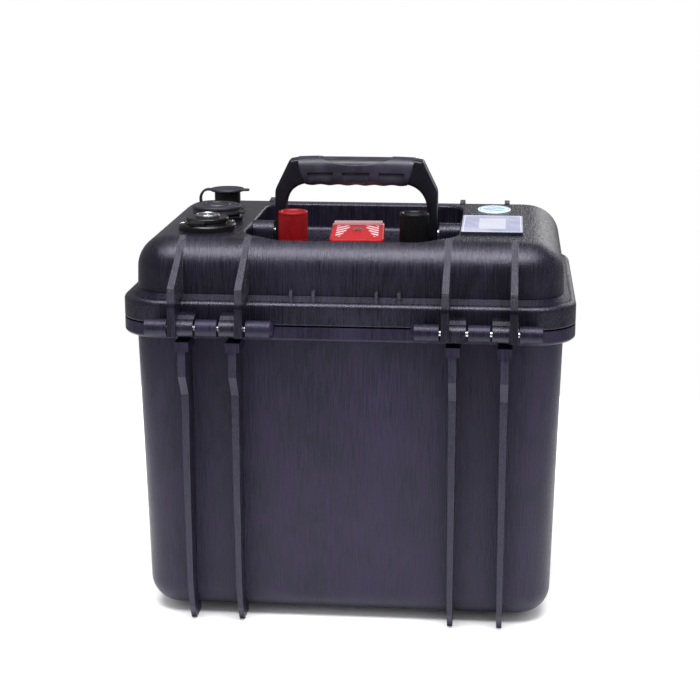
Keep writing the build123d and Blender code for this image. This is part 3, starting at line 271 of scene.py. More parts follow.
def pan_head(centre: Point, radius: float, height: float, turn: float) -> Array:
    """The domed head of a screw with a cross recess.

    Formula: height z = h (1 - 0.45 (r/R)^3) - 0.55 h s, where s is 1 inside either arm of the cross, found
    as the smooth product of |u| < half-width and |v| < half-length in the turned head's own u and v.

    Args:
        centre: the middle of the head's seat.
        radius: of the head.
        height: of the head.
        turn: of the cross, in radians.

    Returns:
        The grid of the surface, from its underside to its middle.
    """
    angles = np.linspace(0.0, 2 * pi, 72, endpoint=False)
    rings = np.concatenate([[1.0], np.linspace(1.0, 0.02, 26)])[:, None]
    x, y = radius * rings * np.cos(angles), radius * rings * np.sin(angles)
    u, v = x * np.cos(turn) + y * np.sin(turn), y * np.cos(turn) - x * np.sin(turn)
    half_width, half_length, edge = 0.14 * radius, 0.62 * radius, 0.06 * radius

    def within(value: Array, half: float) -> Array:
        """1 where the value is within half of nought, with a soft edge."""
        return step_up(-np.abs(value), -half - edge, -half + edge)

    cross = np.maximum(within(u, half_width) * within(v, half_length),
                       within(v, half_width) * within(u, half_length))
    top = height * (1.0 - 0.45 * rings**3) - 0.55 * height * cross
    top[0] = 0.0
    return np.stack([centre[0] + x, centre[1] + y, centre[2] + top], axis=-1)


# ======== materials


class Shader:
    """A node material under construction, with one principled surface."""

    def __init__(self, name: str) -> None:
        """Starts a material.

        Args:
            name: the material's name.
        """
        self.material = bpy.data.materials.new(name)
        self.material.use_nodes = True
        self.tree = self.material.node_tree
        self.surface = self.tree.nodes["Principled BSDF"]
        self.coordinates = self.node("ShaderNodeTexCoord").outputs["Object"]

    def node(self, kind: str) -> bpy.types.Node:
        """A new node of that kind."""
        return self.tree.nodes.new(kind)

    def feed(self, socket: Socket, value: object) -> None:
        """Links a socket to another, or sets it.

        Args:
            socket: the input.
            value: an output socket, a number or a colour.
        """
        if isinstance(value, bpy.types.NodeSocket):
            self.tree.links.new(value, socket)
        elif isinstance(value, tuple) and len(value) == 3 and socket.type == "RGBA":
            socket.default_value = (*value, 1.0)
        else:
            socket.default_value = value

    def place(self, size: Point, centre: Point = (0, 0, 0), turn: Point = (0, 0, 0)) -> Socket:
        """Coordinates centred and turned on a piece, counted in features of the given size."""
        mapping = self.node("ShaderNodeMapping")
        mapping.vector_type = "TEXTURE"
        self.feed(mapping.inputs["Vector"], self.coordinates)
        mapping.inputs["Location"].default_value = centre
        mapping.inputs["Rotation"].default_value = turn
        mapping.inputs["Scale"].default_value = size
        return mapping.outputs["Vector"]

    def noise(self, where: Socket, detail: float = 3.0, rough: float = 0.55, warp: float = 0.0) -> Socket:
        """Noise, one feature to a unit of the coordinates."""
        noise = self.node("ShaderNodeTexNoise")
        self.feed(noise.inputs["Vector"], where)
        noise.inputs["Scale"].default_value = 1.0
        noise.inputs["Detail"].default_value = detail
        noise.inputs["Roughness"].default_value = rough
        noise.inputs["Distortion"].default_value = warp
        return noise.outputs["Fac"]

    def cells(self, where: Socket) -> Socket:
        """Distance to the middle of the nearest random cell."""
        cells = self.node("ShaderNodeTexVoronoi")
        self.feed(cells.inputs["Vector"], where)
        cells.inputs["Scale"].default_value = 1.0
        return cells.outputs["Distance"]

    def part(self, where: Socket, axis: Axis) -> Socket:
        """One coordinate of a vector."""
        split = self.node("ShaderNodeSeparateXYZ")
        self.feed(split.inputs[0], where)
        return split.outputs[axis.value]

    def maths(self, kind: str, *values: object) -> Socket:
        """The result of one Math node of that kind, from one to three values."""
        maths = self.node("ShaderNodeMath")
        maths.operation = kind
        for socket, value in zip(maths.inputs, values):
            self.feed(socket, value)
        return maths.outputs[0]

    def plus(self, first: object, second: object) -> Socket:
        """The sum of two values."""
        return self.maths("ADD", first, second)

    def less(self, first: object, second: object) -> Socket:
        """The first value less the second."""
        return self.maths("SUBTRACT", first, second)

    def times(self, first: object, second: object) -> Socket:
        """The product of two values."""
        return self.maths("MULTIPLY", first, second)

    def span(self, value: Socket, low: float, high: float, start: float = 0.0, end: float = 1.0) -> Socket:
        """The value taken smoothly from low..high to start..end."""
        span = self.node("ShaderNodeMapRange")
        span.interpolation_type = "SMOOTHSTEP"
        self.feed(span.inputs["Value"], value)
        for name, number in (("From Min", low), ("From Max", high), ("To Min", start), ("To Max", end)):
            span.inputs[name].default_value = number
        return span.outputs["Result"]

    def inside(self, value: Socket, half: float, edge: float) -> Socket:
        """1 where the value is within half of nought, and 0 beyond, with a soft edge."""
        return self.span(self.maths("ABSOLUTE", value), half - edge, half + edge, 1.0, 0.0)

    def mix(self, share: object, first: object, second: object) -> Socket:
        """A colour between two colours."""
        mix = self.node("ShaderNodeMix")
        mix.data_type = "RGBA"
        self.feed(mix.inputs["Factor"], share)
        self.feed(mix.inputs[6], first)
        self.feed(mix.inputs[7], second)
        return mix.outputs[2]

    def relief(self, height: Socket, distance: float, strength: float = 1.0) -> None:
        """Bumps the surface by a height, in metres at a height of 1."""
        bump = self.node("ShaderNodeBump")
        bump.inputs["Strength"].default_value = strength
        bump.inputs["Distance"].default_value = distance
        self.feed(bump.inputs["Height"], height)
        self.feed(self.surface.inputs["Normal"], bump.outputs["Normal"])

    def finish(self, **values: object) -> bpy.types.Material:
        """Feeds the surface's sockets, named with underscores, and returns the material."""
        for name, value in values.items():
            self.feed(self.surface.inputs[name.replace("_", " ")], value)
        return self.material


@dataclass(frozen=True)
class CasePlastic:
    """Black polypropylene with a fine grain drawn up its walls, and a lighter speckle on its ribs' faces,
    partly wear and partly a painted highlight.

    The ribs' and nubs' places are counted outwards from the middle, in metres. The lid's ledge is a zone of
    heights with less shine, and the nubs stand on it.
    """

    name: str
    dark: Colour = (0.0050, 0.0036, 0.0125)
    light: Colour = (0.0155, 0.0118, 0.0320)
    # the ribs' speckle colour: partly wear, partly a painted highlight
    rib: Colour = (0.030, 0.029, 0.040)
    grain: Point = (0.0008, 0.02, 0.02)
    near_ribs: tuple[float, ...] = (0.078, 0.1145)
    far_ribs: tuple[float, ...] = (0.078, 0.114)
    shine: float = 0.36
    polish: tuple[float, float] = (0.28, 0.42)
    rib_zone: tuple[float, float] = (0.0, 1.0)
    rib_reach: float = 0.108
    rib_half: float = 0.0029
    ledge: tuple[float, float] = (-0.002, -0.001)
    nubs: tuple[float, float] = (-1.0, -1.0)
    nub_half: float = 0.0014
    nub_reach: float = 0.1089
    corner_zone: tuple[float, float] = (0.126, 0.15)
    bump: float = 0.00036
    ledge_dulling: float = 0.75
    tint: Colour = (0.86, 0.82, 1.0)

    def rib_mask(self, shade: Shader) -> Socket:
        """1 on the ribs' faces, from where they stand, and 0 elsewhere."""
        across = shade.maths("ABSOLUTE", shade.part(shade.coordinates, Axis.X))
        depth = shade.part(shade.coordinates, Axis.Y)
        sides = []
        for places, start, end in ((self.near_ribs, 1.0, 0.0), (self.far_ribs, 0.0, 1.0)):
            strips = [shade.inside(shade.less(across, place), self.rib_half, 0.0002) for place in places]
            strip = shade.maths("MAXIMUM", *strips)
            sides.append(shade.times(strip, shade.span(depth, -0.01, 0.01, start, end)))
        mask = shade.plus(sides[0], sides[1])
        height = shade.part(shade.coordinates, Axis.Z)
        low, high = self.rib_zone
        zone = shade.times(shade.span(height, low - 0.001, low + 0.001),
                           shade.span(height, high - 0.001, high + 0.001, 1.0, 0.0))
        outward = shade.maths("ABSOLUTE", shade.part(shade.coordinates, Axis.Y))
        beyond = shade.span(outward, self.rib_reach - 0.0005, self.rib_reach + 0.0005)
        ribs = shade.times(mask, shade.times(zone, beyond))
        small = [shade.inside(shade.less(across, place), self.nub_half, 0.0002) for place in self.nubs]
        raised = shade.times(shade.span(outward, self.nub_reach - 0.0003, self.nub_reach + 0.0003),
                             shade.span(height, self.ledge[0], self.ledge[0] + 0.0004))
        return shade.plus(ribs, shade.times(raised, shade.maths("MAXIMUM", *small)))

    def material(self) -> bpy.types.Material:
        """Drawn grain on the walls, a diagonal one on the corners, and a lighter speckle on the ribs, partly
        wear and partly a painted highlight.
        """
        shade = Shader(self.name)
        drawn = shade.noise(shade.place(self.grain), 5.0, 0.62)
        slanted = shade.place((0.0007, 0.0007, 0.006), turn=(0.0, radians(38.0), radians(38.0)))
        crossed = shade.noise(slanted, 4.0)
        pebble = shade.noise(shade.place((0.0006, 0.0006, 0.0006)), 3.0, 0.6)
        cloud = shade.noise(shade.place((0.045, 0.045, 0.07)), 3.0, 0.6, 0.6)
        outward = shade.maths("ABSOLUTE", shade.part(shade.coordinates, Axis.X))
        corner = shade.span(outward, *self.corner_zone)
        grain = shade.plus(shade.times(drawn, shade.span(corner, 0.0, 1.0, 1.0, 0.25)),
                           shade.times(crossed, shade.span(corner, 0.0, 1.0, 0.0, 0.75)))
        tone = shade.plus(shade.times(grain, 0.6), shade.times(cloud, 0.4))
        body = shade.mix(shade.span(tone, 0.40, 0.60), self.dark, self.light)
        # lighter speckle on the ribs' and nubs' faces: partly wear, partly a painted highlight where they
        # catch the light
        speckle = shade.span(pebble, 0.4, 0.62)
        colour = shade.mix(shade.times(self.rib_mask(shade), speckle), body, self.rib)
        rough = shade.plus(shade.span(grain, 0.3, 0.7, *self.polish),
                           shade.span(cloud, 0.35, 0.65, -0.03, 0.05))
        height = shade.plus(grain, shade.times(pebble, 0.5))
        shade.relief(height, self.bump)
        up = shade.part(shade.coordinates, Axis.Z)
        ledge_middle, ledge_half = sum(self.ledge) / 2, (self.ledge[1] - self.ledge[0]) / 2
        shadow = shade.inside(shade.less(up, ledge_middle), ledge_half, 0.0004)
        level = shade.maths("MULTIPLY_ADD", shadow, -self.ledge_dulling * self.shine, self.shine)
        return shade.finish(Base_Color=colour, Roughness=rough, Specular_IOR_Level=level,
                            Specular_Tint=self.tint)


@dataclass(frozen=True)
class Moulded:
    """Moulded plastic or rubber: two close tones, a pebble texture and an uneven polish."""

    name: str
    dark: Colour
    light: Colour
    polish: tuple[float, float] = (0.3, 0.45)
    pebble: float = 0.0007
    depth: float = 0.00008
    coat: float = 0.0
    sheen: float = 0.0
    shine: float = 0.5

    def material(self) -> bpy.types.Material:
        """Pebble bump, cloudy tone and cloudy roughness."""
        shade = Shader(self.name)
        fine = shade.noise(shade.place((self.pebble,) * 3), 3.0, 0.6)
        cloud = shade.noise(shade.place((0.014, 0.014, 0.02)), 3.0, 0.6, 0.5)
        tone = shade.plus(shade.times(fine, 0.45), shade.times(cloud, 0.55))
        colour = shade.mix(shade.span(tone, 0.36, 0.64), self.dark, self.light)
        rough = shade.span(cloud, 0.3, 0.7, *self.polish)
        shade.relief(fine, self.depth)
        return shade.finish(Base_Color=colour, Roughness=rough, Coat_Weight=self.coat, Coat_Roughness=0.08,
                            Sheen_Weight=self.sheen, Specular_IOR_Level=self.shine)


@dataclass(frozen=True)
class Metal:
    """Metal with fine tool marks and a little tarnish."""

    name: str
    bright: Colour
    tarnish: Colour
    polish: tuple[float, float] = (0.18, 0.36)
    marks: Point = (0.004, 0.0004, 0.0004)

    def material(self) -> bpy.types.Material:
        """Streaks along the tool's way, and cloudy tarnish."""
        shade = Shader(self.name)
        streak = shade.noise(shade.place(self.marks), 4.0, 0.6)
        cloud = shade.noise(shade.place((0.006, 0.006, 0.006)), 3.0, 0.55, 0.4)
        colour = shade.mix(shade.span(cloud, 0.4, 0.68), self.bright, self.tarnish)
        shade.relief(streak, 0.00004)
        rough = shade.span(streak, 0.3, 0.7, *self.polish)
        return shade.finish(Base_Color=colour, Metallic=1.0, Roughness=rough)


@dataclass(frozen=True)
class Sleeve:
    """Film shrunk on a can: glossy, with faint creases at its ends."""

    name: str
    film: Colour = (0.012, 0.075, 0.33)
    deep: Colour = (0.007, 0.04, 0.2)
    low: float = 0.02
    high: float = 0.224

    def material(self) -> bpy.types.Material:
        """Cloudy film tone, crease bump near the ends, glossy coat."""
        shade = Shader(self.name)
        cloud = shade.noise(shade.place((0.03, 0.03, 0.05)), 3.0, 0.5, 0.8)
        crease = shade.noise(shade.place((0.0015, 0.0015, 0.012)), 2.0, 0.5)
        height = shade.part(shade.coordinates, Axis.Z)
        ends = shade.plus(shade.span(height, self.low, self.low + 0.012, 1.0, 0.0),
                          shade.span(height, self.high - 0.012, self.high))
        shade.relief(shade.times(crease, ends), 0.0005)
        colour = shade.mix(shade.span(cloud, 0.38, 0.62), self.deep, self.film)
        rough = shade.span(cloud, 0.3, 0.7, 0.22, 0.34)
        return shade.finish(Base_Color=colour, Roughness=rough, Coat_Weight=0.4)


@dataclass(frozen=True)
class Woven:
    """A woven band, or laminate with a weave under its resin."""

    name: str
    dark: Colour
    light: Colour
    pitch: float = 0.0012
    depth: float = 0.00025
    rough: tuple[float, float] = (0.6, 0.85)

    def material(self) -> bpy.types.Material:
        """Two crossed sets of threads, each a sine along one way, with a noise that breaks them up."""
        shade = Shader(self.name)
        where = shade.place((self.pitch / (2 * pi),) * 3)
        flat = [shade.maths("SINE", shade.part(where, axis)) for axis in Axis]
        weave = shade.times(shade.plus(flat[0], flat[1]), flat[2])
        weave = shade.plus(weave, shade.times(flat[0], flat[1]))
        fibre = shade.noise(shade.place((self.pitch / 3,) * 3), 3.0)
        tone = shade.plus(shade.span(weave, -1.5, 1.5, 0.0, 0.6), shade.times(fibre, 0.4))
        shade.relief(tone, self.depth)
        colour = shade.mix(tone, self.dark, self.light)
        return shade.finish(Base_Color=colour, Roughness=shade.span(fibre, 0.3, 0.7, *self.rough))


@dataclass(frozen=True)
class Foam:
    """Closed-cell foam."""

    name: str
    dark: Colour = (0.035, 0.035, 0.038)
    light: Colour = (0.085, 0.085, 0.09)

    def material(self) -> bpy.types.Material:
        """Small random cells, darker in their middles."""
        shade = Shader(self.name)
        cells = shade.cells(shade.place((0.0011,) * 3))
        cloud = shade.noise(shade.place((0.02,) * 3))
        shade.relief(cells, 0.0004)
        colour = shade.mix(shade.span(cells, 0.1, 0.6), self.dark, self.light)
        return shade.finish(Base_Color=colour, Roughness=shade.span(cloud, 0.3, 0.7, 0.82, 0.95))


@dataclass(frozen=True)
class Circuit:
    """A circuit board: solder mask over copper tracks."""

    name: str
    mask: Colour = (0.012, 0.09, 0.035)
    track: Colour = (0.03, 0.17, 0.07)

    def material(self) -> bpy.types.Material:
        """Tracks as the edges of square cells, under a glossy mask."""
        shade = Shader(self.name)
        bricks = shade.node("ShaderNodeTexBrick")
        shade.feed(bricks.inputs["Vector"], shade.place((0.004, 0.004, 0.004)))
        bricks.inputs["Scale"].default_value = 1.0
        bricks.inputs["Mortar Size"].default_value = 0.06
        cloud = shade.noise(shade.place((0.003,) * 3))
        colour = shade.mix(bricks.outputs["Fac"], self.mask, self.track)
        shade.relief(bricks.outputs["Fac"], 0.00006)
        return shade.finish(Base_Color=colour, Roughness=shade.span(cloud, 0.3, 0.7, 0.2, 0.38))


@dataclass(frozen=True)
class ScreenPanel:
    """The display's face: a tinted plate with a pale line round it and a window on the screen."""

    name: str
    centre: Point
    half: tuple[float, float]
    screen: tuple[float, float]
    plate: Colour = (0.25, 0.26, 0.37)
    glass: Colour = (0.42, 0.43, 0.50)
    line: Colour = (0.60, 0.61, 0.72)
    side: Colour = (0.012, 0.012, 0.018)

    def material(self) -> bpy.types.Material:
        """Nested rectangles of the panel's own x and y, each with a thin soft edge."""
        shade = Shader(self.name)
        where = shade.place((1.0, 1.0, 1.0), self.centre)
        u, v, w = (shade.part(where, axis) for axis in Axis)

        def box(half_u: float, half_v: float, edge: float = 0.0001) -> Socket:
            """1 inside a rectangle of the panel."""
            return shade.times(shade.inside(u, half_u, edge), shade.inside(v, half_v, edge))

        frame_line = shade.less(box(self.half[0] - 0.0012, self.half[1] - 0.0014),
                                box(self.half[0] - 0.0017, self.half[1] - 0.0024))
        cloud = shade.noise(shade.place((0.02, 0.05, 0.02), turn=(0.0, 0.0, 0.5)), 2.0, 0.5, 0.6)
        plate = shade.mix(shade.span(cloud, 0.35, 0.65, 0.0, 0.2), self.plate, self.line)
        colour = shade.mix(box(*self.screen, 0.0002), plate, self.glass)
        screen_line = shade.less(box(self.screen[0] + 0.0006, self.screen[1] + 0.001), box(*self.screen))
        colour = shade.mix(shade.times(screen_line, 0.55), colour, self.plate)
        colour = shade.mix(frame_line, colour, self.line)
        colour = shade.mix(shade.span(w, -0.0004, -0.0001), self.side, colour)
        return shade.finish(Base_Color=colour, Roughness=shade.span(cloud, 0.3, 0.7, 0.12, 0.22))


@dataclass(frozen=True)
class OvalPrint:
    """A domed oval badge with a plain printed pattern of its own."""

    name: str
    centre: Point
    half: tuple[float, float]
    field_colour: Colour = (0.54, 0.60, 0.68)
    ink: Colour = (0.02, 0.13, 0.32)
    second_ink: Colour = (0.03, 0.24, 0.22)

    def material(self) -> bpy.types.Material:
        """A ring inside the edge, and three waves across the middle."""
        shade = Shader(self.name)
        where = shade.place((self.half[0], self.half[1], 1.0), self.centre)
        u, v = shade.part(where, Axis.X), shade.part(where, Axis.Y)
        away = shade.maths("SQRT", shade.plus(shade.times(u, u), shade.times(v, v)))
        ring = shade.inside(shade.less(away, 0.86), 0.025, 0.012)
        core = shade.span(away, 0.66, 0.7, 1.0, 0.0)
        swell = shade.times(shade.maths("SINE", shade.times(u, 7.0)), 0.1)
        wave = shade.maths("SINE", shade.times(shade.plus(v, swell), 15.0))
        waves = shade.times(shade.span(wave, 0.15, 0.45), core)
        cloud = shade.noise(shade.place((0.004,) * 3))
        ink = shade.mix(shade.span(u, -0.4, 0.4), self.ink, self.second_ink)
        marks = shade.maths("MAXIMUM", shade.times(ring, 0.8), waves)
        colour = shade.mix(marks, self.field_colour, ink)
        return shade.finish(Base_Color=colour, Roughness=shade.span(cloud, 0.3, 0.7, 0.16, 0.28))


@dataclass(frozen=True)
class Embossed:
    """Plated embossing that stands out of a dark ground."""

    name: str
    ground_height: float
    raised_height: float
    ground: Colour = (0.030, 0.029, 0.036)
    plated: Colour = (0.46, 0.46, 0.52)
    worn: Colour = (0.20, 0.20, 0.24)

    def material(self) -> bpy.types.Material:
        """Dark below the embossing's faces and bright on them, with a cloudy wear."""
        shade = Shader(self.name)
        raised = shade.span(shade.part(shade.coordinates, Axis.Z), self.ground_height, self.raised_height)
        cloud = shade.noise(shade.place((0.0012,) * 3), 3.0, 0.6)
        plating = shade.mix(shade.span(cloud, 0.36, 0.64), self.worn, self.plated)
        colour = shade.mix(raised, self.ground, plating)
        shade.relief(cloud, 0.00003)
        rough = shade.span(cloud, 0.3, 0.7, 0.22, 0.36)
        return shade.finish(Base_Color=colour, Metallic=raised, Roughness=rough)


@dataclass(frozen=True)
class PaintedHighlightCover:
    """The fuse cover: glossy red, with highlights painted on it: a paler band across its far end, and pale
    strokes fanned at both sides.
    """

    name: str
    centre: Point
    turn: float
    half: tuple[float, float]
    red: Colour = (0.32, 0.0025, 0.006)
    deep: Colour = (0.26, 0.002, 0.005)
    # colour of the painted highlights
    pale: Colour = (0.74, 0.58, 0.62)
    band_width: float = 0.0108
    stroke_rise: float = 640.0
    stroke_lean: float = 900.0
    wedge_start: float = 0.0085
    wedge_slope: float = -0.16
    margin: float = 0.0038
    marks_middle: float = -0.002
    marks_half: float = 0.0235
    shine: float = 0.14

    def material(self) -> bpy.types.Material:
        """Painted highlight strokes are a sine across slanted lines, kept inside two wedges of the top face.
        """
        shade = Shader(self.name)
        where = shade.place((1.0, 1.0, 1.0), self.centre, (0.0, 0.0, self.turn))
        u, v, height = (shade.part(where, axis) for axis in Axis)
        side = shade.maths("ABSOLUTE", u)
        cloud = shade.noise(shade.place((0.012, 0.012, 0.012)), 3.0, 0.6, 0.8)
        on_top = shade.span(height, -0.0016, -0.0006)
        # painted highlight: a pale band across the far end of the top face
        band_start = self.half[1] - self.band_width
        band = shade.times(shade.span(v, band_start - 0.001, band_start), on_top)
        # painted highlights: pale strokes fanned at both sides
        lean = shade.plus(shade.times(v, self.stroke_rise), shade.times(side, self.stroke_lean))
        stroke = shade.span(shade.maths("SINE", lean), 0.0, 0.5)
        wedge_low = shade.plus(shade.times(v, self.wedge_slope), self.wedge_start)
        wedge = shade.span(shade.less(side, wedge_low), -0.0002, 0.0002)
        edge = self.half[0] - self.margin
        inside = shade.times(wedge, shade.span(side, edge - 0.0007, edge, 1.0, 0.0))
        reach = shade.inside(shade.less(v, self.marks_middle), self.marks_half, 0.0004)
        marks = shade.times(shade.times(stroke, inside), shade.times(reach, on_top))
        colour = shade.mix(shade.span(cloud, 0.35, 0.65), self.deep, self.red)
        # mixes the painted highlights into the red
        colour = shade.mix(shade.times(marks, 0.8), colour, self.pale)
        colour = shade.mix(shade.times(band, 0.6), colour, self.pale)
        fine = shade.noise(shade.place((0.002,) * 3))
        shade.relief(fine, 0.00005)
        return shade.finish(Base_Color=colour, Roughness=shade.span(cloud, 0.3, 0.7, 0.26, 0.4),
                            Specular_IOR_Level=self.shine)


class Finish:
    """The finishes that several sub-assemblies share, each made once."""

    latch = Moulded("latch_plastic", (0.006, 0.006, 0.008), (0.014, 0.014, 0.018), (0.3, 0.42))
    handle = Moulded("handle_nylon", (0.0025, 0.0021, 0.0050), (0.006, 0.0052, 0.011), (0.3, 0.44),
                     pebble=0.0006, depth=0.00006, shine=0.3)
    grip = Moulded("grip_rubber", (0.009, 0.0078, 0.0165), (0.020, 0.0178, 0.037), (0.36, 0.5),
                   pebble=0.0005, depth=0.0001)
    gloss = Moulded("socket_gloss", (0.003, 0.003, 0.004), (0.006, 0.006, 0.008), (0.26, 0.38),
                    pebble=0.002, depth=0.00002, shine=0.3)
    cap = Moulded("cap_rubber", (0.007, 0.0064, 0.0115), (0.017, 0.0158, 0.028), (0.38, 0.54),
                  pebble=0.0005, depth=0.00008)
    gasket = Moulded("gasket_rubber", (0.012, 0.012, 0.013), (0.022, 0.022, 0.024), (0.55, 0.75))
    nylon = Moulded("terminal_nylon", (0.014, 0.014, 0.016), (0.03, 0.03, 0.034), (0.4, 0.55))
    steel = Metal("pin_steel", (0.66, 0.66, 0.67), (0.42, 0.42, 0.44))
    zinc = Metal("zinc_plate", (0.62, 0.63, 0.66), (0.44, 0.44, 0.44), (0.24, 0.42))
    brass = Metal("stud_brass", (0.82, 0.64, 0.34), (0.55, 0.40, 0.2))
    copper = Metal("tinned_copper", (0.90, 0.50, 0.34), (0.62, 0.33, 0.24), (0.2, 0.4))
    aluminium = Metal("machined_aluminium", (0.82, 0.83, 0.84), (0.62, 0.62, 0.64))

    _made: dict[str, bpy.types.Material] = {}

    @classmethod
    def get(cls, finish: object) -> bpy.types.Material:
        """The finish's material, made the first time it is asked for."""
        if finish.name not in cls._made:
            cls._made[finish.name] = finish.material()
        return cls._made[finish.name]


def coat(piece: bpy.types.Object, finish: object) -> None:
    """Gives a piece one material in place of all it has."""
    piece.data.materials.clear()
    piece.data.materials.append(Finish.get(finish))


def coat_nodes(finish: object, *nodes: str) -> None:
    """Gives the named CAD nodes one finish in place of all they have.

    Args:
        finish: the finish.
        nodes: the nodes' names.
    """
    material = Finish.get(finish)
    for name in nodes:
        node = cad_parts[name]
        for place in node.material_slots:
            place.link = "DATA"
            place.material = material
        log.info("finished %s with %s", name, finish.name)


def stand_for(solid: Solid, name: str, body: str, slot: str, finish: object, *nodes: str) -> None:
    """Makes a piece that rides on a body in the place of CAD nodes.

    Args:
        solid: its surfaces.
        name: the piece's name.
        body: the body that it rides on.
        slot: not used.
        finish: its finish.
        nodes: the CAD nodes that it replaces.
    """
    piece = solid.piece(name)
    coat(piece, finish)
    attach(piece, body)
    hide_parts(*nodes)
    log.info("made %s with %d points", name, len(piece.data.vertices))


def corners(node: str) -> tuple[Array, Array]:
    """The low and high corners of a CAD node's box."""
    low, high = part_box(node)
    return np.array(low), np.array(high)


# ======== sub-assemblies


@dataclass
class HardCase:
    """The tub and the lid with their gasket, hinge pins and latches."""

    parting: float = 229.1 * MM
    hinge_side_lid_ribs: tuple[float, float] = (72.6 * MM, 120.2 * MM)
    nubs: tuple[float, float] = (38.7 * MM, 22.5 * MM)

    def build(self) -> None:
        """Finishes the case's nodes."""
        tub = CasePlastic("tub_plastic", rib_zone=(0.0, self.parting - 18 * MM))
        # painted shade: the lid's base colours are darker than the tub's; its rib colour, lighter than the
        # tub's, is partly a painted highlight on the ribs' upper slopes
        lid = CasePlastic(
            "lid_plastic", near_ribs=self.hinge_side_lid_ribs, rib_zone=(self.parting + 20 * MM, 1.0),
            ledge=(self.parting + 16.8 * MM, self.parting + 21.2 * MM), nubs=self.nubs, rib_reach=84 * MM,
            rib=(0.06, 0.058, 0.074), dark=(0.0030, 0.0026, 0.0060), light=(0.0105, 0.0092, 0.0195),
            shine=0.5, polish=(0.20, 0.32))
        coat_nodes(tub, "case_tub")
        coat_nodes(lid, "lid_shell")
        coat_nodes(Finish.gasket, "lid_gasket")
        coat_nodes(Finish.steel, "hinge_pins", "latch_pins", "handle_pins")
        coat_nodes(Finish.latch, "latch_left", "latch_right")


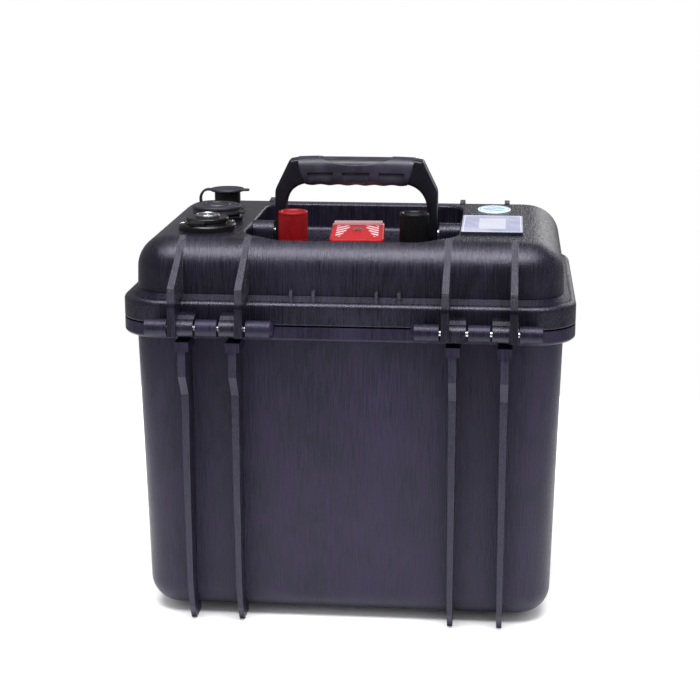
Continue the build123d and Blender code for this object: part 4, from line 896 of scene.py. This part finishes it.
@dataclass
class Handle:
    """The folding handle: a rigid bow and a soft grip with finger scoops.

    The bow's stops are (distance from the middle, drop below the top) in millimetres, up the leg and
    across. A scoop is (place, half-width at its top, half-width at its foot).
    """

    outer_stops: tuple[tuple[float, float], ...] = ((61.7, 24.0), (50.6, 1.2), (45.0, 0.2), (0.0, 0.2))
    inner_stops: tuple[tuple[float, float], ...] = ((53.5, 37.0), (36.0, 19.0), (32.0, 19.0), (0.0, 19.0))
    leg_depth: float = 9.0 * MM
    eye_rows: int = 14
    run_rows: int = 24
    grip_depth: float = 11.0 * MM
    grip_half: float = 42.5 * MM
    grip_crown: float = 0.8 * MM
    end_slant: float = 0.28
    end_shrink: float = 0.16
    scoops: tuple[tuple[float, float, float], ...] = (
        (-27.0 * MM, 9.6 * MM, 7.2 * MM),
        (0.0, 10.4 * MM, 7.0 * MM),
        (27.0 * MM, 9.6 * MM, 7.2 * MM),
    )
    scoop_depth: float = 2.0 * MM
    scoop_run: float = 8.5 * MM
    lens_half: float = 28.0 * MM
    lens_drop: float = 5.6 * MM
    lens_depth: float = 0.55 * MM
    lump_pitch: float = 13.5 * MM
    lump_depth: float = 0.35 * MM

    def bow(self) -> Array:
        """The rigid bow.

        Formula: row t runs from the left eye, up the leg, over the shoulder and across the top to the right
        eye. Between the inner outline I(t) and the outer outline O(t), ring angle a gives
        (I + O)/2 + (O - I)/2 ov_x(a) + d(t) ov_z(a) y. In the eye d is the half-chord of a circle round
        the pin, and d is the leg's half-depth elsewhere. The outer line's corners are eased by averaging
        neighbours, and the inner line's upper corner is a quarter of an ellipse.

        Returns:
            The grid of the bow.
        """
        low, high = corners("handle_frame")
        pin = low[2] + self.leg_depth
        drop = np.sin(np.linspace(-pi / 2, 0.0, self.eye_rows)) * self.leg_depth
        along = np.linspace(0.0, 1.0, self.run_rows)[1:, None]
        lines = []
        for stops in (self.outer_stops, self.inner_stops):
            half, below = np.array(stops).T * MM
            points = np.stack([half, high[2] - below], -1)
            points = np.concatenate([[(half[0], pin)], points])
            eye = np.stack([np.full_like(drop, half[0]), pin + drop], -1)
            lines.append([eye, *(a + (b - a) * along for a, b in zip(points[:-1], points[1:]))])
        a, b = lines[1][1][-1], lines[1][2][-1]
        quarter = along * pi / 2
        lines[1][2] = a + (b - a) * np.concatenate([1 - np.cos(quarter), np.sin(quarter)], axis=1)
        outer, inner = self.softened(np.concatenate(lines[0]), 4), np.concatenate(lines[1])
        depth = np.full(len(outer), self.leg_depth)
        depth[:self.eye_rows] = np.sqrt(np.maximum(self.leg_depth**2 - drop**2, (0.4 * MM) ** 2))
        outer = np.concatenate([outer * (-1, 1), outer[-2::-1]])
        inner = np.concatenate([inner * (-1, 1), inner[-2::-1]])
        depth = np.concatenate([depth, depth[-2::-1]])
        across, up = oval(np.linspace(0.0, 2 * pi, 64, endpoint=False), 7.0)
        mid, reach = (outer + inner) / 2, (outer - inner) / 2
        x = mid[:, :1] + reach[:, :1] * across
        z = mid[:, 1:] + reach[:, 1:] * across
        y = (low[1] + high[1]) / 2 + depth[:, None] * up
        return np.stack([x, y, z], axis=-1)

    @staticmethod
    def softened(line: Array, times: int) -> Array:
        """A line with each point moved to the mean of itself and its neighbours, a number of times."""
        for _ in range(times):
            line = np.concatenate([line[:1], (line[:-2] + 2 * line[1:-1] + line[2:]) / 4, line[-1:]])
        return line

    def grip(self) -> Array:
        """The soft grip.

        Formula: at u from -1 to 1 along the bar and angle a round it, the section is a squared-off circle
        of power 3, its ends lie on slanted planes x = +-(half + slant (z - middle)), and the surface is
        pulled in by the scoops' and the lens's depths. A scoop is deepest under its straight top edge and
        runs out downwards; its half-width goes from wide to narrow. The lens is the part of the top above
        the curve z = top - drop (1 - (x / lens half)^2). The underside has lumps, depth (1 + cos) along x.

        Returns:
            The grid of the grip.
        """
        low, high = corners("handle_grip")
        centre_y, centre_z = (low[1] + high[1]) / 2, (low[2] + high[2]) / 2
        u = np.linspace(-1.0, 1.0, 320)
        u = np.concatenate([[-1.0, -0.998], u[2:-2], [0.998, 1.0]])[:, None]
        across, up = oval(np.linspace(0.0, 2 * pi, 208, endpoint=False), 3.0)
        tall = (high[2] - low[2]) / 2
        y, z = self.grip_depth * across[None, :], tall * up[None, :]
        crown = -self.grip_crown * np.abs(u) ** 4 * (z > 0)
        x = u * (self.grip_half + self.end_slant * z)
        pull = np.zeros_like(x)
        edge = 0.35 * MM
        for place, wide, narrow in self.scoops:
            run = np.clip((-1.2 * MM - z) / self.scoop_run, 0.0, 1.0)
            half = wide + (narrow - wide) * run
            inside = step_up(half - np.abs(x - place), -edge, edge) * step_up(-1.0 * MM - z, -edge, edge)
            pull = pull + self.scoop_depth * (1 - run) ** 1.2 * inside
        curve = tall - self.lens_drop * (1 - (x / self.lens_half) ** 2)
        lens = step_up(z - curve, -0.25 * MM, 0.25 * MM) * (np.abs(x) < self.lens_half)
        waves = 1 + np.cos(2 * pi * x / self.lump_pitch)
        pull = pull + self.lens_depth * lens + self.lump_depth * waves * step_up(-z, 8 * MM, 10.5 * MM)
        shrink = 1.0 - pull / self.grip_depth - self.end_shrink * step_up(np.abs(u), 0.972, 0.99)
        return np.stack([x, centre_y + y * shrink, centre_z + z * shrink + crown], axis=-1)

    def build(self) -> None:
        """Makes the bow and the grip."""
        stand_for(Solid().add(self.bow()), "handle_bow", "handle", "handle_black", Finish.handle,
                  "handle_frame")
        stand_for(Solid().add(self.grip()), "handle_sleeve", "handle", "grip_rubber", Finish.grip,
                  "handle_grip")


@dataclass
class Terminals:
    """The two terminals with their knurled screw-down knobs."""

    teeth: int = 48
    knurl: float = 0.5 * MM
    bore: float = 4.05 * MM
    red: Moulded = Moulded("knob_red", (0.16, 0.002, 0.004), (0.22, 0.004, 0.007), (0.32, 0.42),
                           pebble=0.0006, depth=0.00003, shine=0.3)
    black: Moulded = Moulded("knob_black", (0.0025, 0.0025, 0.003), (0.0045, 0.0045, 0.0055), (0.28, 0.38),
                             pebble=0.0006, depth=0.00003, shine=0.3)

    def knob(self, node: str) -> Array:
        """A knurled knob with a dished top.

        Formula: a turned profile whose radius loses knurl (1 - cos(teeth a)) / 2 at angle a, between the
        foot and the rim, with a smooth step at both ends of the knurl.

        Args:
            node: the CAD node that it stands for.

        Returns:
            The grid of the knob.
        """
        low, high = corners(node)
        centre = (low + high) / 2
        base, top, radius = low[2], high[2], (high[0] - low[0]) / 2
        upper = [(0.1 * MM, top - 1.5 * MM), (radius - 3.2 * MM, top - 1.2 * MM), (radius - 2.2 * MM, top),
                 (radius - 0.3 * MM, top), (radius, top - 1.2 * MM), (radius, top - 2.2 * MM)]
        lower = [(radius, base + 2.0 * MM), (radius, base + 0.8 * MM), (radius - 0.6 * MM, base),
                 (self.bore, base), (self.bore, top - 5 * MM), (0.1 * MM, top - 5 * MM)]
        side = np.stack([np.full(14, radius), np.linspace(top - 2.3 * MM, base + 2.1 * MM, 14)], -1)
        profile = np.concatenate([eased(upper, 0.7 * MM), side, eased(lower, 0.5 * MM)])
        grid = turned(profile, (centre[0], centre[1]), self.teeth * 6)
        angles = np.arctan2(grid[..., 1] - centre[1], grid[..., 0] - centre[0])
        height = grid[..., 2]
        outer = (profile[:, 0] > radius - 0.05 * MM)[:, None]
        band = step_up(height, base + 1.0 * MM, base + 1.8 * MM) * step_up(top - height, 1.4 * MM, 2.2 * MM)
        loss = self.knurl * (1 - np.cos(self.teeth * angles)) / 2 * band * outer
        grid[..., 0] -= loss * np.cos(angles)
        grid[..., 1] -= loss * np.sin(angles)
        return grid

    def build(self) -> None:
        """Makes the knobs, and finishes the studs, bases and nuts."""
        for sign, finish in (("positive", self.red), ("negative", self.black)):
            node = f"{sign}_knob"
            stand_for(Solid().add(self.knob(node)), f"{sign}_knurled_knob", node, finish.name, finish, node)
            coat_nodes(Finish.nylon, f"{sign}_terminal_base")
            coat_nodes(Finish.brass, f"{sign}_terminal_stud")
            coat_nodes(Finish.zinc, f"{sign}_knob_washer")
        coat_nodes(Finish.zinc, "stud_nuts")


@dataclass
class Fuse:
    """The fuse under its red cover, which has highlights painted on it."""

    turn: float = radians(3.5)
    half: tuple[float, float] = (20.0 * MM, 37.5 * MM)
    # how far below the cover's top the plane of the painted highlights lies
    highlight_plane_drop: float = 1.6 * MM

    def build(self) -> None:
        """Finishes the cover, and the fuse and screw under it."""
        low, high = corners("fuse_cover")
        centre = (low + high) / 2
        top = high[2] - self.highlight_plane_drop
        cover = PaintedHighlightCover("cover_painted_highlights", (centre[0], centre[1], top), self.turn, self.half)
        coat_nodes(cover, "fuse_cover")
        coat_nodes(Finish.nylon, "fuse_base")
        coat_nodes(Finish.brass, "fuse_posts")
        coat_nodes(Finish.copper, "fuse_link")
        coat_nodes(Finish.steel, "fuse_screw")


@dataclass
class PowerSocket:
    """The round power socket: flange, flip lid with an embossed disc, hinge and screws."""

    disc_radius: float = 9.2 * MM
    lobes: int = 3
    screw_head: float = 2.5 * MM
    screw_rise: float = 0.9 * MM
    screw_shaft: float = 1.35 * MM

    def disc(self) -> Array:
        """The embossed disc.

        Formula: z = face + rise times the greatest of three masks made of smooth steps: a rim ring in r,
        three lobes where cos(3a) and r are both inside their ranges, and a middle button in r.

        Returns:
            The grid of the disc.
        """
        low, high = corners("charge_lid_disc")
        centre = (low + high) / 2
        angles = np.linspace(0.0, 2 * pi, 144, endpoint=False)
        rings = np.concatenate([[1.0, 1.0], np.linspace(0.985, 0.01, 52)])[:, None]
        x, y = self.disc_radius * rings * np.cos(angles), self.disc_radius * rings * np.sin(angles)
        rim = step_up(rings, 0.80, 0.85) * (1 - step_up(rings, 0.93, 0.99))
        lobe = step_up(np.cos(self.lobes * angles)[None, :] * np.ones_like(rings), 0.1, 0.6)
        lobe = lobe * step_up(rings, 0.28, 0.36) * (1 - step_up(rings, 0.64, 0.72))
        button = 1 - step_up(rings, 0.12, 0.2)
        top = high[2] - 0.75 * MM + 0.65 * MM * np.maximum(rim, np.maximum(lobe, button))
        top = top - 0.4 * MM * step_up(rings, 0.95, 1.0)
        top[0] = low[2]
        return np.stack([centre[0] + x, centre[1] + y, top], axis=-1)

    def screws(self) -> Solid:
        """The two flange screws, with domed cross heads on plain shafts."""
        low, high = corners("charge_socket_screws")
        head, seat = self.screw_head, high[2] - self.screw_rise
        solid = Solid()
        for x, y, turn in ((low[0] + head, low[1] + head, 0.4), (high[0] - head, high[1] - head, 1.1)):
            solid.add(pan_head((x, y, seat), head, self.screw_rise, turn))
            shaft = np.array([(self.screw_shaft, low[2]), (self.screw_shaft, seat + 0.1 * MM)])
            solid.add(turned(shaft, (x, y), 24))
        return solid

    def build(self) -> None:
        """Makes the disc and screws, and finishes the rest."""
        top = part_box("charge_lid_disc")[1][2]
        plating = Embossed("disc_plating", top - 0.6 * MM, top - 0.25 * MM)
        stand_for(Solid().add(self.disc()), "embossed_disc", "charge_socket_lid", "disc_plated", plating,
                  "charge_lid_disc")
        stand_for(self.screws(), "flange_screws", "lid", "pin_steel", Finish.steel, "charge_socket_screws")
        coat_nodes(Finish.gloss, "charge_socket_body", "charge_socket_lid", "socket_nuts")
        coat_nodes(Finish.steel, "charge_lid_pin")
        coat_nodes(Finish.brass, "socket_contacts")


@dataclass
class CappedSockets:
    """The twin USB socket under its ringed cap, and the auxiliary socket with its tethered cap."""

    web_half: float = 4.8 * MM
    web_thick: float = 1.05 * MM
    tab_half: float = 3.4 * MM
    tab_thick: float = 0.85 * MM
    strap_half: float = 3.0 * MM
    strap_thick: float = 0.9 * MM
    loop_reach: float = 6.1 * MM

    def usb_cap(self) -> Solid:
        """The ringed cap: a turned profile with eased corners, and the web at its edge."""
        low, high = corners("usb_cap")
        radius = (high[1] - low[1]) / 2
        centre = (low[0] + radius, (low[1] + high[1]) / 2)
        top = high[2]
        ring = [(0.1 * MM, top - 1.0 * MM), (8.4 * MM, top - 1.0 * MM), (8.7 * MM, top), (10.2 * MM, top),
                (10.8 * MM, top - 1.0 * MM)]
        rim = [(radius - 2.2 * MM, top - 0.9 * MM), (radius - 0.2 * MM, top - 1.6 * MM),
               (radius, top - 3.2 * MM), (radius - 0.5 * MM, top - 3.9 * MM),
               (radius - 0.5 * MM, top - 4.6 * MM)]
        foot = [(radius, low[2] + 0.9 * MM), (radius - 0.4 * MM, low[2]), (0.1 * MM, low[2])]
        outline = ring + rim + foot
        solid = Solid().add(turned(eased(outline, 0.45 * MM), centre, 128))
        web_height = low[2] + 1.1 * MM
        web_start = (centre[0] + radius - 3 * MM, centre[1], web_height)
        web = np.linspace(web_start, (high[0], centre[1], web_height), 12)
        solid.add(swept(web, self.web_half, self.web_thick, (0, 1, 0), 6.0))
        return solid

    def aux_cap(self) -> Solid:
        """The tethered cap: a turned plate with an eased rim and a plug below, a pull tab and a strap lug."""
        low, high = corners("aux_cap")
        radius = (high[1] - low[1]) / 2
        centre = (high[0] - 17.4 * MM, (low[1] + high[1]) / 2)
        top, seat = high[2], high[2] - 2.1 * MM
        outline = [(0.1 * MM, top - 0.5 * MM), (radius - 3.4 * MM, top - 0.5 * MM), (radius - 2.6 * MM, top),
                   (radius - 0.5 * MM, top - 0.1 * MM), (radius, top - 0.8 * MM), (radius, seat + 0.3 * MM),
                   (radius - 0.4 * MM, seat), (5.6 * MM, seat), (5.6 * MM, low[2]), (0.1 * MM, low[2])]
        solid = Solid().add(turned(eased(outline, 0.4 * MM), centre, 112))
        height = seat + 0.9 * MM
        width = self.tab_half * np.sqrt(1 - np.linspace(0.0, 0.985, 14) ** 6)
        for start, end in ((centre[0] + 11 * MM, high[0]), (centre[0] - 11 * MM, low[0])):
            path = np.linspace((start, centre[1], height), (end, centre[1], height), len(width))
            solid.add(swept(path, width, self.tab_thick, (0, 1, 0), 4.0))
        return solid

    def strap(self) -> Array:
        """The strap's loop.

        Formula: a straight run out of the socket's foot, a half circle, and a straight run back to the
        cap, carrying a flat section with rounded edges.

        Returns:
            The grid of the strap.
        """
        low, high = corners("aux_strap")
        y = (low[1] + high[1]) / 2
        floor_z, roof_z = low[2] + self.strap_thick, high[2] - self.strap_thick
        radius = (roof_z - floor_z) / 2
        reach = self.loop_reach
        turn_x = low[0] + reach + self.strap_thick
        angles = np.linspace(-pi / 2, pi / 2, 32)
        arc_x, arc_z = turn_x - reach * np.cos(angles), floor_z + radius * (1 + np.sin(angles))
        arc = np.stack([arc_x, np.full_like(arc_x, y), arc_z], -1)
        foot = np.linspace((high[0], y, floor_z), (turn_x, y, floor_z), 8)[:-1]
        back = np.linspace((turn_x, y, roof_z), (turn_x + 2.5 * MM, y, roof_z), 5)[1:]
        return swept(np.concatenate([foot, arc, back]), self.strap_half, self.strap_thick, (0, 1, 0), 5.0)

    def build(self) -> None:
        """Makes the caps and the strap, and finishes the sockets."""
        stand_for(self.usb_cap(), "ringed_cap", "usb_cap", "cap_rubber", Finish.cap, "usb_cap")
        stand_for(self.aux_cap(), "tethered_cap", "aux_cap", "cap_rubber", Finish.cap, "aux_cap")
        strap = Solid().add(self.strap()).piece("tether_strap")
        coat(strap, Finish.cap)
        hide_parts("aux_strap")
        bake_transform(strap)
        log.info("made %s, bent between the lid and the cap", strap.name)
        coat_nodes(Finish.gloss, "usb_socket_body", "aux_socket_body")


@dataclass
class Readout:
    """The display and the oval badge."""

    screen: tuple[float, float] = (10.05 * MM, 23.35 * MM)
    case: Moulded = Moulded("display_case", (0.008, 0.008, 0.011), (0.016, 0.016, 0.02), (0.14, 0.26),
                            pebble=0.001, depth=0.00003, coat=0.3)
    cell: Moulded = Moulded("screen_cell", (0.66, 0.70, 0.78), (0.78, 0.81, 0.9), (0.2, 0.3))

    def build(self) -> None:
        """Finishes the display's parts and the badge."""
        low, high = corners("display_window")
        centre, half = (low + high) / 2, (high - low) / 2
        panel = ScreenPanel("screen_panel", (centre[0], centre[1], high[2]), (half[0], half[1]), self.screen)
        coat_nodes(panel, "display_window")
        coat_nodes(self.case, "display_housing")
        coat_nodes(self.cell, "display_screen")
        coat_nodes(Circuit("display_circuit"), "display_board")
        low, high = corners("info_badge")
        centre, half = (low + high) / 2, (high - low) / 2
        coat_nodes(OvalPrint("oval_print", tuple(centre), (half[0], half[1])), "info_badge")


@dataclass
class CellPack:
    """The four cells, what joins them, what holds them, and the management unit."""

    cells: tuple[str, ...] = ("cell_1", "cell_2", "cell_3", "cell_4")
    lead_radius: float = 3.9 * MM
    positive_route: tuple[Point, ...] = (
        (-92.25, -71, 232.3), (-77.75, -79, 233.3), (-56, -84, 243), (-46.4, -69, 248.3), (-45.9, -55, 248.3))
    negative_route: tuple[Point, ...] = (
        (52, -14, 244.1), (58, -34, 242.6), (66, -58, 242.1), (56, -76, 244), (47.4, -71, 247),
        (45.9, -55, 248.3))
    epoxy: Woven = Woven("glass_epoxy", (0.11, 0.14, 0.055), (0.19, 0.23, 0.10),
                         pitch=0.0016, depth=0.00005, rough=(0.3, 0.45))
    band: Woven = Woven("polyester_band", (0.42, 0.40, 0.33), (0.72, 0.70, 0.62))
    anodised: Metal = Metal("anodised", (0.30, 0.31, 0.34), (0.18, 0.19, 0.21), (0.3, 0.48),
                            marks=(0.0005, 0.006, 0.0005))
    red: Moulded = Moulded("lead_red", (0.30, 0.008, 0.008), (0.50, 0.02, 0.018), (0.35, 0.5))
    black: Moulded = Moulded("lead_black", (0.008, 0.008, 0.009), (0.02, 0.02, 0.022), (0.4, 0.55))

    def lead(self, node: str, finish: Moulded, route: Sequence[Point]) -> None:
        """A round lead, swept along a smooth line through its route.

        Args:
            node: the CAD node that it stands for.
            finish: its finish, named as the record's material slot is.
            route: its route, in millimetres.
        """
        line = spline_line(route) * MM
        round_bar = swept(line, self.lead_radius, self.lead_radius, (0, 0, 1), 2.0)
        piece = Solid().add(round_bar).piece(f"{node}_flex")
        coat(piece, finish)
        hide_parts(node)
        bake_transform(piece)
        log.info("made %s, bent between the case and the lid", piece.name)

    def build(self) -> None:
        """Finishes everything inside the case."""
        low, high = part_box("cell_1")
        coat_nodes(Sleeve("cell_sleeve", low=low[2], high=high[2]), *self.cells)
        coat_nodes(Finish.aluminium, "cell_posts")
        coat_nodes(Finish.copper, "busbars", "case_lugs", "lid_lugs")
        coat_nodes(Finish.zinc, "busbar_nuts")
        coat_nodes(self.epoxy, "cell_insulators", "cover_sheet")
        coat_nodes(self.band, "pack_straps")
        coat_nodes(Foam("cell_foam"), "foam_base_pad", "foam_side_pads")
        coat_nodes(self.anodised, "bms_housing")
        coat_nodes(Finish.steel, "bms_screws")
        self.lead("positive_lead", self.red, self.positive_route)
        self.lead("negative_lead", self.black, self.negative_route)
        coat_nodes(self.black, "cell_lead")


@dataclass
class Studio:
    """A pale floor, soft lights and the camera.

    A light is its name, its place, the point that it faces, its width and height, and its power in watts.
    """

    floor_colour: Colour = (0.95, 0.95, 0.955)
    camera_place: Point = (0.11239, -1.29186, 0.50569)
    camera_tilt: float = radians(76.08)
    camera_pan: float = radians(5.25)
    lens: float = 87.62
    floor_half: float = 0.55
    room_in_reflections: float = 0.26
    lights: tuple[tuple[str, Point, Point, tuple[float, float], float], ...] = (
        ("overhead", (0.0, -0.55, 1.45), (0.0, -0.1, 0.3), (1.3, 0.5), 28.0),
        ("back", (1.2, 2.6, 1.05), (0.2, 0.0, 0.3), (1.6, 0.8), 11.0),
    )
    sun_strength: float = 1.1
    sun_angle: float = radians(50.0)

    def floor(self) -> None:
        """A plain floor with a faint sheen."""
        side = self.floor_half
        mesh = bpy.data.meshes.new("studio_floor")
        ring = [(-side, -side, 0.0), (side, -side, 0.0), (side, side, 0.0), (-side, side, 0.0)]
        mesh.from_pydata(ring, [], [(0, 1, 2, 3)])
        floor = bpy.data.objects.new("studio_floor", mesh)
        bpy.context.scene.collection.objects.link(floor)
        shade = Shader("studio_floor")
        cloud = shade.noise(shade.place((0.4,) * 3))
        floor.data.materials.append(
            shade.finish(Base_Color=self.floor_colour, Roughness=shade.span(cloud, 0.3, 0.7, 0.55, 0.65)))

    def lamp(self, name: str, place: Point, aim: Point, size: tuple[float, float], power: float) -> None:
        """One soft rectangular light.

        Args:
            name: its name.
            place: where it is.
            aim: the point that it faces.
            size: width and height.
            power: in watts.
        """
        data = bpy.data.lights.new(name, "AREA")
        data.shape = "RECTANGLE"
        data.size, data.size_y = size
        data.energy = power
        lamp = bpy.data.objects.new(name, data)
        lamp.location = place
        way = np.array(aim) - np.array(place)
        flat = float(np.hypot(way[0], way[1]))
        lamp.rotation_euler = (atan2(flat, -way[2]), 0.0, atan2(way[1], way[0]) - pi / 2)
        bpy.context.scene.collection.objects.link(lamp)

    def sky_lamp(self) -> None:
        """A broad soft light straight down, which keeps the floor white far out."""
        data = bpy.data.lights.new("sky", "SUN")
        data.energy = self.sun_strength
        data.angle = self.sun_angle
        lamp = bpy.data.objects.new("sky", data)
        lamp.location = (0.0, 0.0, 3.0)
        bpy.context.scene.collection.objects.link(lamp)

    def surroundings(self) -> None:
        """A white room, which looks darker in reflections, as a studio's walls do beyond its lamps."""
        world = bpy.data.worlds.new("studio")
        world.use_nodes = True
        tree = world.node_tree
        background = tree.nodes["Background"]
        background.inputs["Color"].default_value = (1.0, 1.0, 1.0, 1.0)
        light_path = tree.nodes.new("ShaderNodeLightPath")
        level = tree.nodes.new("ShaderNodeMapRange")
        level.inputs["To Min"].default_value = 1.0
        level.inputs["To Max"].default_value = self.room_in_reflections
        tree.links.new(light_path.outputs["Is Glossy Ray"], level.inputs["Value"])
        tree.links.new(level.outputs["Result"], background.inputs["Strength"])
        bpy.context.scene.world = world

    def build(self) -> None:
        """Makes the floor, lights, surroundings and camera."""
        self.floor()
        for light in self.lights:
            self.lamp(*light)
        self.sky_lamp()
        self.surroundings()
        bpy.context.scene.view_settings.view_transform = "Standard"
        data = bpy.data.cameras.new("camera")
        data.lens = self.lens
        data.sensor_width = 36.0
        data.clip_end = 50.0
        camera = bpy.data.objects.new("camera", data)
        camera.location = self.camera_place
        camera.rotation_euler = (self.camera_tilt, 0.0, self.camera_pan)
        bpy.context.scene.collection.objects.link(camera)
        bpy.context.scene.camera = camera


def main() -> None:
    """Builds the studio and each sub-assembly in order."""
    logging.basicConfig(level=logging.INFO, format="%(name)s: %(message)s")
    for assembly in (Studio(), HardCase(), Handle(), Terminals(), Fuse(), PowerSocket(), CappedSockets(),
                     Readout(), CellPack()):
        assembly.build()
        log.info("built %s", type(assembly).__name__)


if __name__ == "__main__":
    main()
